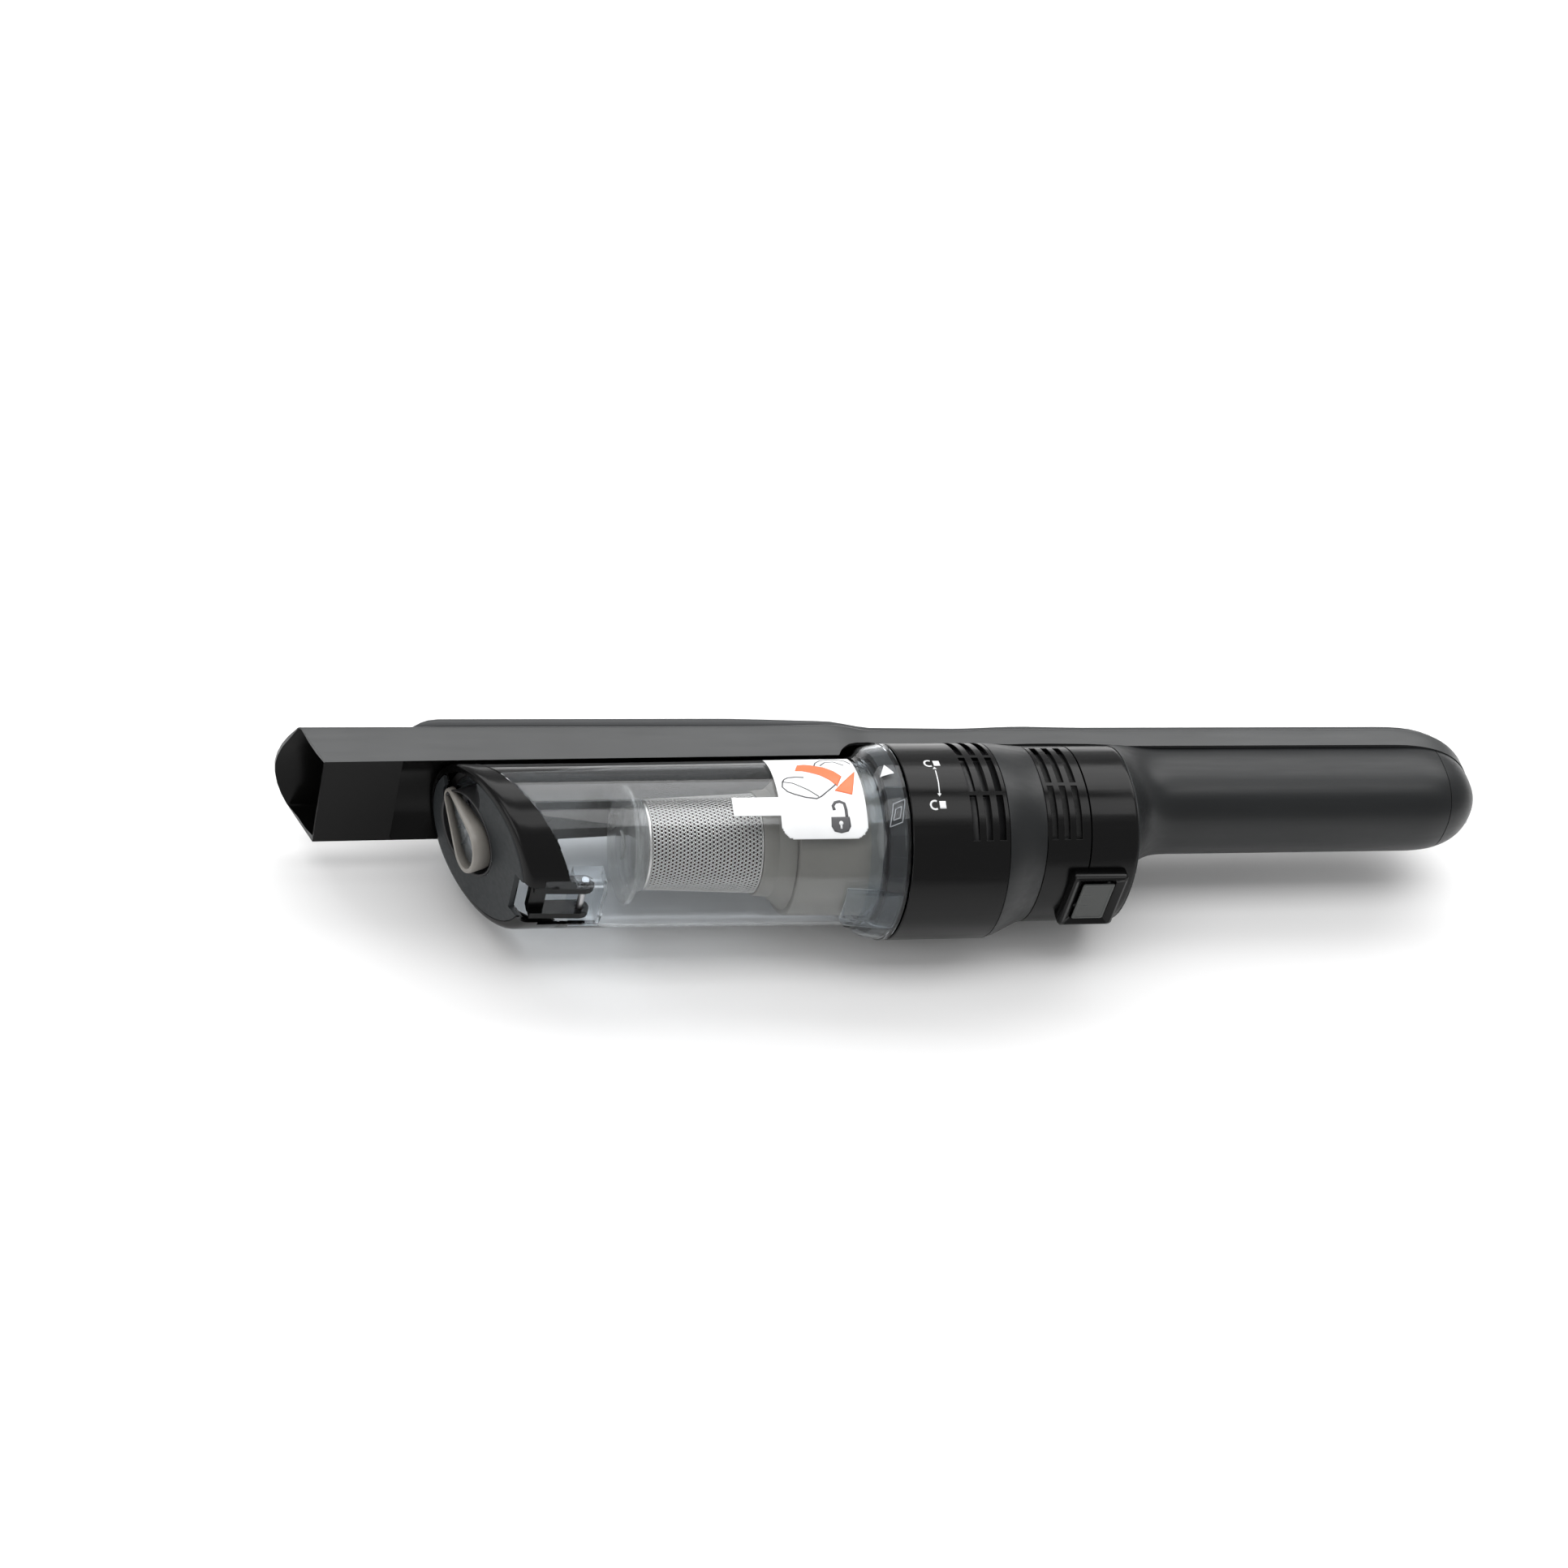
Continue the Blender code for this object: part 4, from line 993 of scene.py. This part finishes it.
def make_label():
    """Printed film: its outline is sampled as a fine grid so that it wraps the tube."""
    sheet = Sheet()
    per = BIN_REAR_R * math.pi / 180
    outline = [(x, a * per) for x, a in label_outline()]

    def inside(x, s):
        found = False
        for (x0, s0), (x1, s1) in zip(outline, outline[1:] + outline[:1]):
            if (s0 > s) != (s1 > s) and x < (x1 - x0) * (s - s0) / (s1 - s0) + x0:
                found = not found
        return found

    first, last = LABEL_X
    lowest, highest = LABEL_DEGREES
    columns = int((last - first) / LABEL_STEP)
    lines = int((highest - lowest) * per / LABEL_STEP)
    rows = []
    for i in range(columns + 1):
        x = first + LABEL_STEP * i
        radius = bin_radius(x) + LABEL_LIFT
        rows.append([round_point(x, radius, math.radians(lowest + LABEL_STEP * j / per))
                     for j in range(lines + 1)])

    def outside(i, j):
        return not inside(first + LABEL_STEP * (i + 0.5), (lowest + LABEL_STEP * (j + 0.5) / per) * per)

    sheet.grid(rows, skip=outside)
    made = sheet.piece("label_film", "bin", ("label_white",), ("bin_label",), wall=0.1)
    make_label_print(per)
    return made


def make_label_print(per):
    """Turn arrow, a plain outline of a tube, and a plain lock shape with its keyhole."""
    def printed(name, finish, shapes, lift=PRINT_LIFT):
        return mark(name, "bin", finish, shapes, bin_radius, lift)

    upper = [(-41.4, 113.3), (-38.4, 114.0), (-35.5, 113.0), (-30.7, 109.5), (-27.1, 104.3),
             (-24.5, 98.1)]
    lower = [(-43.7, 105.0), (-40.6, 104.8), (-38.0, 103.2), (-33.8, 99.7), (-30.4, 94.8),
             (-27.7, 88.5)]
    head = ((-18.0, 103.5), (-29.4, 85.0), (-22.1, 81.4))
    printed("label_arrow", "print_orange", strips(upper, lower) + [head])
    near_side = [(-50.7, 93.4), (-51.4, 88.8), (-49.6, 84.8), (-47.1, 82.7), (-42.4, 80.0),
                 (-37.7, 78.8), (-35.6, 80.4), (-31.0, 86.4), (-27.9, 90.8)]
    far_side = [(-50.7, 93.4), (-49.6, 96.0), (-47.9, 97.5), (-44.4, 98.2), (-41.0, 97.6)]
    cap = [(-34.3, 111.6), (-33.0, 116.6), (-29.9, 122.0), (-26.4, 123.9), (-22.7, 123.7),
           (-19.6, 120.0), (-18.1, 114.2)]
    rim = [(-50.7, 93.4), (-46.6, 92.2), (-40.6, 86.0), (-36.6, 80.4)]
    cap_rim = [(-31.6, 112.0), (-28.6, 117.6), (-24.8, 118.6), (-21.4, 112.0)]
    shapes = []
    for line, width in ((near_side, 0.6), (far_side, 0.6), (cap, 0.6), (rim, 0.45), (cap_rim, 0.6)):
        shapes += band(line, width, per)
    lock_body = [(-32.6, 65.2), (-24.7, 65.2), (-24.4, 58.6), (-25.6, 55.2), (-28.6, 54.0),
                 (-31.6, 55.2), (-32.8, 58.6)]
    shackle = [(-30.9, 70.0), (-31.3, 73.0), (-30.2, 75.6), (-28.2, 76.4), (-26.3, 74.8),
               (-25.9, 70.2), (-25.9, 65.0)]
    printed("label_print", "print_grey", shapes + [lock_body] + band(shackle, 1.3, per))
    keyhole = [circle_line(-28.6, 60.8, 0.95, 0, 360, per, 12)[:-1],
               [(-29.0, 60.2), (-28.2, 60.2), (-28.2, 57.0), (-29.0, 57.0)]]
    return printed("lock_keyhole", "print_white", keyhole, PRINT_LIFT + 0.1)


# ---------------------------------------------------------------- filter

def make_screen():
    """Perforated metal sleeve: staggered round holes in real sheet."""
    sheet = Sheet()
    x0, x1 = SCREEN_X
    step = (x1 - x0) / SCREEN_ALONG
    cell = 2 * math.pi / SCREEN_AROUND

    def spot(x, turn):
        radius = SCREEN_R + SCREEN_FLARE * (x - x0) / (x1 - x0)
        return (x, radius * math.cos(turn), radius * math.sin(turn))

    for i in range(SCREEN_ALONG):
        for j in range(SCREEN_AROUND):
            shift = 0.5 if i % 2 else 0.0
            cx = x0 + step * (i + 0.5)
            ct = cell * (j + shift)
            outer = []
            hole = []
            for k in range(HOLE_SIDES):
                lean = 2 * math.pi * (k + 0.5) / HOLE_SIDES
                square = 1 / max(abs(math.cos(lean)), abs(math.sin(lean)))
                outer.append((cx + step / 2 * math.cos(lean) * square,
                              ct + cell / 2 * math.sin(lean) * square))
                hole.append((cx + step * HOLE_SHARE * math.cos(lean),
                             ct + cell * HOLE_SHARE * math.sin(lean)))
            ring_out = sheet.row([spot(*p) for p in outer])
            ring_in = sheet.row([spot(*p) for p in hole])
            for k in range(HOLE_SIDES):
                m = (k + 1) % HOLE_SIDES
                sheet.face((ring_out[k], ring_out[m], ring_in[m], ring_in[k]))
    turned(sheet, [(-106.0, 18.9), (-105.4, 19.0), (x0, SCREEN_R)])
    turned(sheet, [(x1, SCREEN_R + SCREEN_FLARE), (-57.8, 20.95)])
    return sheet.piece("perforated_screen", "root", ("stainless_mesh",),
                       ("mesh_screen",), wall=0.35, merge=0.004)


def make_filter_parts():
    disc = [(-114.4, 0.0), (-114.4, 6.0), (-113.6, 6.6), (-113.6, 15.0), (-113.9, 20.0), (-113.2, 24.2),
            (-112.6, 24.75), (-111.6, 24.75), (-111.0, 24.2), (-110.2, 21.0), (-108.0, 19.9),
            (-106.2, 19.6), (-106.2, 18.0), (-108.5, 17.0), (-111.0, 12.0), (-111.4, 0.0)]
    skirt = [(-57.6, 21.55), (-56.8, 22.1), (-51.5, 22.6), (-45.6, 27.4), (-45.3, 28.1), (-45.3, 26.7),
             (-51.0, 21.4), (-57.6, 20.9), (-57.6, 21.55)]
    base = [(-45.0, 23.3), (-45.0, 29.4)] + arc(-44.0, 29.4, 1.0, 180, 90)
    base += [(-30.0, 30.7), (-12.0, 31.1), (-11.6, 31.3), (-1.0, 31.35), (-0.8, 29.5), (-42.6, 28.7),
             (-42.8, 23.3), (-45.0, 23.3)]
    turned_piece("screen_end_disc", "root", "skirt_clear", "filter_flange", disc)
    turned_piece("screen_skirt", "root", "filter_grey", "filter_skirt", skirt)
    turned_piece("screen_base", "root", "filter_grey", "filter_base", base)
    sheet = Sheet()
    pleats = 44
    star = []
    for i in range(2 * pleats):
        angle = math.pi * i / pleats
        radius = 16.8 if i % 2 else 11.5
        star.append((radius * math.cos(angle), radius * math.sin(angle)))
    # Pleated paper behind the screen; its reddish finish is darkened as painted shade seen through the
    # holes.
    sheet.grid([[(x, y, z) for y, z in star] for x in (-104.3, -90.0, -74.0, -58.2)], True)
    return sheet.piece("pleated_sleeve", "root", ("filter_paper",),
                       ("filter_cartridge",), wall=0.3)


# ---------------------------------------------------------------- door

def face_point(along, out, z):
    length = math.hypot(FACE_SLOPE, 1.0)
    x = FACE_X + (along * FACE_SLOPE - out) / length
    y = (along + out * FACE_SLOPE) / length
    return (x, y, z)


def face_ring(radius, out, count, centre=(RECESS_V, 0.0)):
    """Circle level with the door's face, raised out of it."""
    points = []
    for i in range(count):
        angle = 2 * math.pi * i / count
        points.append(face_point(centre[0] + radius * math.cos(angle), out,
                                 centre[1] + radius * math.sin(angle)))
    return points


def disc_cut(made, radius, centre=(RECESS_V, 0.0), low=-CUT_DEPTH):
    """Cut a round hole along the door face's normal, up past the face."""
    count = 64
    bm = bmesh.new()
    rows = [[bm.verts.new(place(p)) for p in face_ring(radius, out, count, centre)]
            for out in (low, CUT_TOP)]
    for i in range(count):
        j = (i + 1) % count
        bm.faces.new((rows[0][i], rows[0][j], rows[1][j], rows[1][i]))
    bm.faces.new(rows[0])
    bm.faces.new(rows[1])
    bmesh.ops.recalc_face_normals(bm, faces=bm.faces)
    return apply_cut(made, bm)


def slanted_rows(profile, count=128):
    """Rings that lean from the seam's plane (lean 1) to the face's plane (lean 0)."""
    rows = []
    for offset, lean, radius in profile:
        x = FACE_X + (SEAM_X - FACE_X) * lean + offset
        slope = FACE_SLOPE + (SEAM_SLOPE - FACE_SLOPE) * lean
        rows.append(ring(x, radius, count, slope))
    return rows


def make_door_band():
    """Glossy band of the door with a rounded front edge, and its inner plug."""
    sheet = Sheet()
    profile = [(-0.4, 1.0, 32.3), (-0.4, 1.0, 33.7), (-0.7, 1.0, 33.95), (0.0, 0.5, 34.0),
               (3.4, 0.0, 34.0), (2.1, 0.0, 33.8), (1.2, 0.0, 33.2), (0.6, 0.0, 32.2), (0.5, 0.0, 30.8),
               (2.2, 0.0, 30.6), (3.6, 0.0, 32.2), (-0.4, 1.0, 32.3)]
    sheet.grid(slanted_rows(profile), True)
    made = sheet.piece("door_band", "door", ("gloss_black",), ("door_cap",))
    notch_cut(made, (-164, -40, -10.6), (-140, -22.6, 10.6))
    return notch_cut(made, (-152, -40, -13.2), (-134, -22.0, 13.2))


def make_door_face():
    """Matte disc of the door and the dark plate behind it, both cut for the lever and hinge ears."""
    sheet = Sheet()
    profile = [(1.9, 0.0, 0.0), (1.9, 0.0, 30.4), (0.5, 0.0, 30.5), (0.1, 0.0, 30.2), (0.0, 0.0, 29.4),
               (0.0, 0.0, 0.0)]
    sheet.grid(slanted_rows(profile), True)
    made = sheet.piece("door_plate", "door", ("matte_dark",), ("door_face",))
    disc_cut(made, RECESS_R)
    disc_cut(made, UPPER_CUT_R, UPPER_CUT)
    disc_cut(made, LEVER_NARROW[2] + 1.4, LEVER_NARROW[:2])
    notch_cut(made, (-172, -40, -10.0), (-140, -24.0, 10.0))
    back = Sheet()
    back.grid(slanted_rows([(3.4, 0.0, 32.0), (2.3, 0.0, 32.0), (2.3, 0.0, 0.0), (3.4, 0.0, 0.0),
                            (3.4, 0.0, 32.0)]), True)
    plate = back.piece("door_backing", "door", ("gloss_black",))
    disc_cut(plate, RECESS_R + 0.6, low=-2 * CUT_DEPTH)
    disc_cut(plate, UPPER_CUT_R + 1.0, UPPER_CUT, -2 * CUT_DEPTH)
    disc_cut(plate, LEVER_NARROW[2] + 2.4, LEVER_NARROW[:2])
    notch_cut(plate, (-172, -40, -10.6), (-140, -22.6, 10.6))
    return made


def make_recess():
    """Cup behind the lever."""
    sheet = Sheet()
    profile = ((RECESS_R, 0.02), (RECESS_R - 0.5, -0.5), (RECESS_R - 0.6, -9.5), (RECESS_R - 2.5, -11.2),
               (0.0, -11.4))
    sheet.grid([face_ring(radius, out, 72) for radius, out in profile], True)
    return sheet.piece("lever_recess", "door", ("inner_black",), ("latch_housing",),
                       wall=-0.8)


def teardrop(wide, wide_r, narrow, narrow_r):
    """Outline of two circles and their flanks, as (along, z)."""
    dv = narrow[0] - wide[0]
    dz = narrow[1] - wide[1]
    lean = math.degrees(math.atan2(dz, dv))
    points = []
    for i in range(29):
        angle = math.radians(lean + 76 + 208 * i / 28)
        points.append((wide[0] + wide_r * math.cos(angle), wide[1] + wide_r * math.sin(angle)))
    for i in range(13):
        angle = math.radians(lean - 76 + 152 * i / 12)
        points.append((narrow[0] + narrow_r * math.cos(angle), narrow[1] + narrow_r * math.sin(angle)))
    return points


def make_lever():
    """Thumb lever: a rounded wall round a faintly clear facet with fine ribs across it."""
    wide, wide_r = LEVER_WIDE[:2], LEVER_WIDE[2]
    narrow, narrow_r = LEVER_NARROW[:2], LEVER_NARROW[2]
    across = (narrow[0] - wide[0], narrow[1] - wide[1])
    lean = math.atan2(across[1], across[0])
    length = math.hypot(*across)

    def height(along, z, low, high):
        reach = (along - wide[0]) * math.cos(lean) + (z - wide[1]) * math.sin(lean)
        share = 1 - reach / length
        return low + (high - low) * share

    def level(inset, low, high):
        row = []
        for along, z in teardrop(wide, wide_r - inset, narrow, narrow_r - inset * 0.6):
            row.append(face_point(along, height(along, z, low, high), z))
        return row

    sheet = Sheet()
    rows = [level(0.0, -2.0, -1.0), level(0.0, 0.4, 4.0), level(0.15, 1.0, 5.4), level(0.6, 1.4, 6.2),
            level(1.4, 1.5, 6.4), level(2.2, 1.3, 6.1), level(2.4, -1.6, 2.6)]
    sheet.grid(rows, True)
    sheet.piece("lever_rim", "latch", ("lever_rim",), ("latch_lever",), wall=0.7)
    facet = Sheet()
    facet.fan(rows[-1])
    facet.piece("lever_facet", "latch", ("lever_clear",), wall=0.8)
    ribs = Sheet()
    for share in (0.2, 0.5, 0.75):
        middle = (wide[0] + across[0] * share, wide[1] + across[1] * share)
        reach = (wide_r - 2.0) + (narrow_r - wide_r) * share
        ends = []
        for side in (-1, 1):
            ends.append((middle[0] - side * reach * math.sin(lean),
                         middle[1] + side * reach * math.cos(lean)))
        low = [face_point(a, height(a, b, -2.2, 2.0), b) for a, b in ends]
        high = [face_point(a, height(a, b, -1.2, 3.4), b) for a, b in ends]
        ribs.face(ribs.row(low + list(reversed(high))))
    return ribs.piece("lever_ribs", "latch", ("lever_clear",), wall=0.4)


# ---------------------------------------------------------------- stage

def make_stage():
    mesh = bpy.data.meshes.new("floor")
    bm = bmesh.new()
    for x, y in ((-1, -1), (1, -1), (1, 1), (-1, 1)):
        bm.verts.new((x * FLOOR_HALF, y * FLOOR_HALF, cad_box[0][2] - FLOOR_DROP))
    bm.faces.new(bm.verts)
    bm.to_mesh(mesh)
    bm.free()
    floor = bpy.data.objects.new("floor", mesh)
    bpy.context.scene.collection.objects.link(floor)
    made, _, shader = nodes_of("pale_floor")
    shader.inputs["Base Color"].default_value = (0.9, 0.9, 0.9, 1)
    shader.inputs["Roughness"].default_value = 0.9
    shader.inputs["Specular IOR Level"].default_value = 0.1
    mesh.materials.append(made)


def softbox(name, at, aim, size, power):
    light = bpy.data.lights.new(name, "AREA")
    light.shape = "RECTANGLE"
    light.size = size[0]
    light.size_y = size[1]
    light.energy = power
    made = bpy.data.objects.new(name, light)
    made.location = at
    made.rotation_euler = (Vector(aim) - Vector(at)).to_track_quat("-Z", "Y").to_euler()
    bpy.context.scene.collection.objects.link(made)
    return made


def make_lights():
    scene = bpy.context.scene
    world = bpy.data.worlds.new("studio")
    world.use_nodes = True
    world.node_tree.nodes["Background"].inputs["Color"].default_value = (1, 1, 1, 1)
    world.node_tree.nodes["Background"].inputs["Strength"].default_value = WORLD_STRENGTH
    scene.world = world
    softbox("top_strip", (0.1, 0.75, 0.95), (0, 0, 0.05), (2.4, 0.7), 16)
    softbox("overhead", (0.0, -0.1, 1.6), (0, 0, 0), (2.6, 0.7), 14)
    softbox("left_fill", (-1.6, -0.6, 0.8), (0, 0, 0.05), (0.9, 0.9), 5)
    scene.view_settings.view_transform = "Standard"


def make_camera():
    camera = bpy.data.cameras.new("camera")
    camera.lens = CAMERA_LENS
    camera.sensor_width = SENSOR
    camera.clip_end = 20
    made = bpy.data.objects.new("camera", camera)
    bpy.context.scene.collection.objects.link(made)
    turn = Matrix((CAMERA_RIGHT, CAMERA_UP, CAMERA_BACK)).transposed()
    made.matrix_world = Matrix.Translation(place(CAMERA_AT)) @ turn.to_4x4()
    bpy.context.scene.camera = made


dress_frame()
make_camera()
make_lights()
make_stage()
make_spine()
make_cover()
make_grip()
make_end_cap()
make_front_housing()
make_taper()
make_rear_housing()
make_vent_shade_sleeves()
make_rear_cap()
make_guard()
make_release_plate()
make_housing_marks()
make_bin_tube()
make_collar()
make_collar_marks()
make_collar_ledge()
make_label()
make_screen()
make_filter_parts()
make_door_band()
make_door_face()
make_recess()
make_lever()
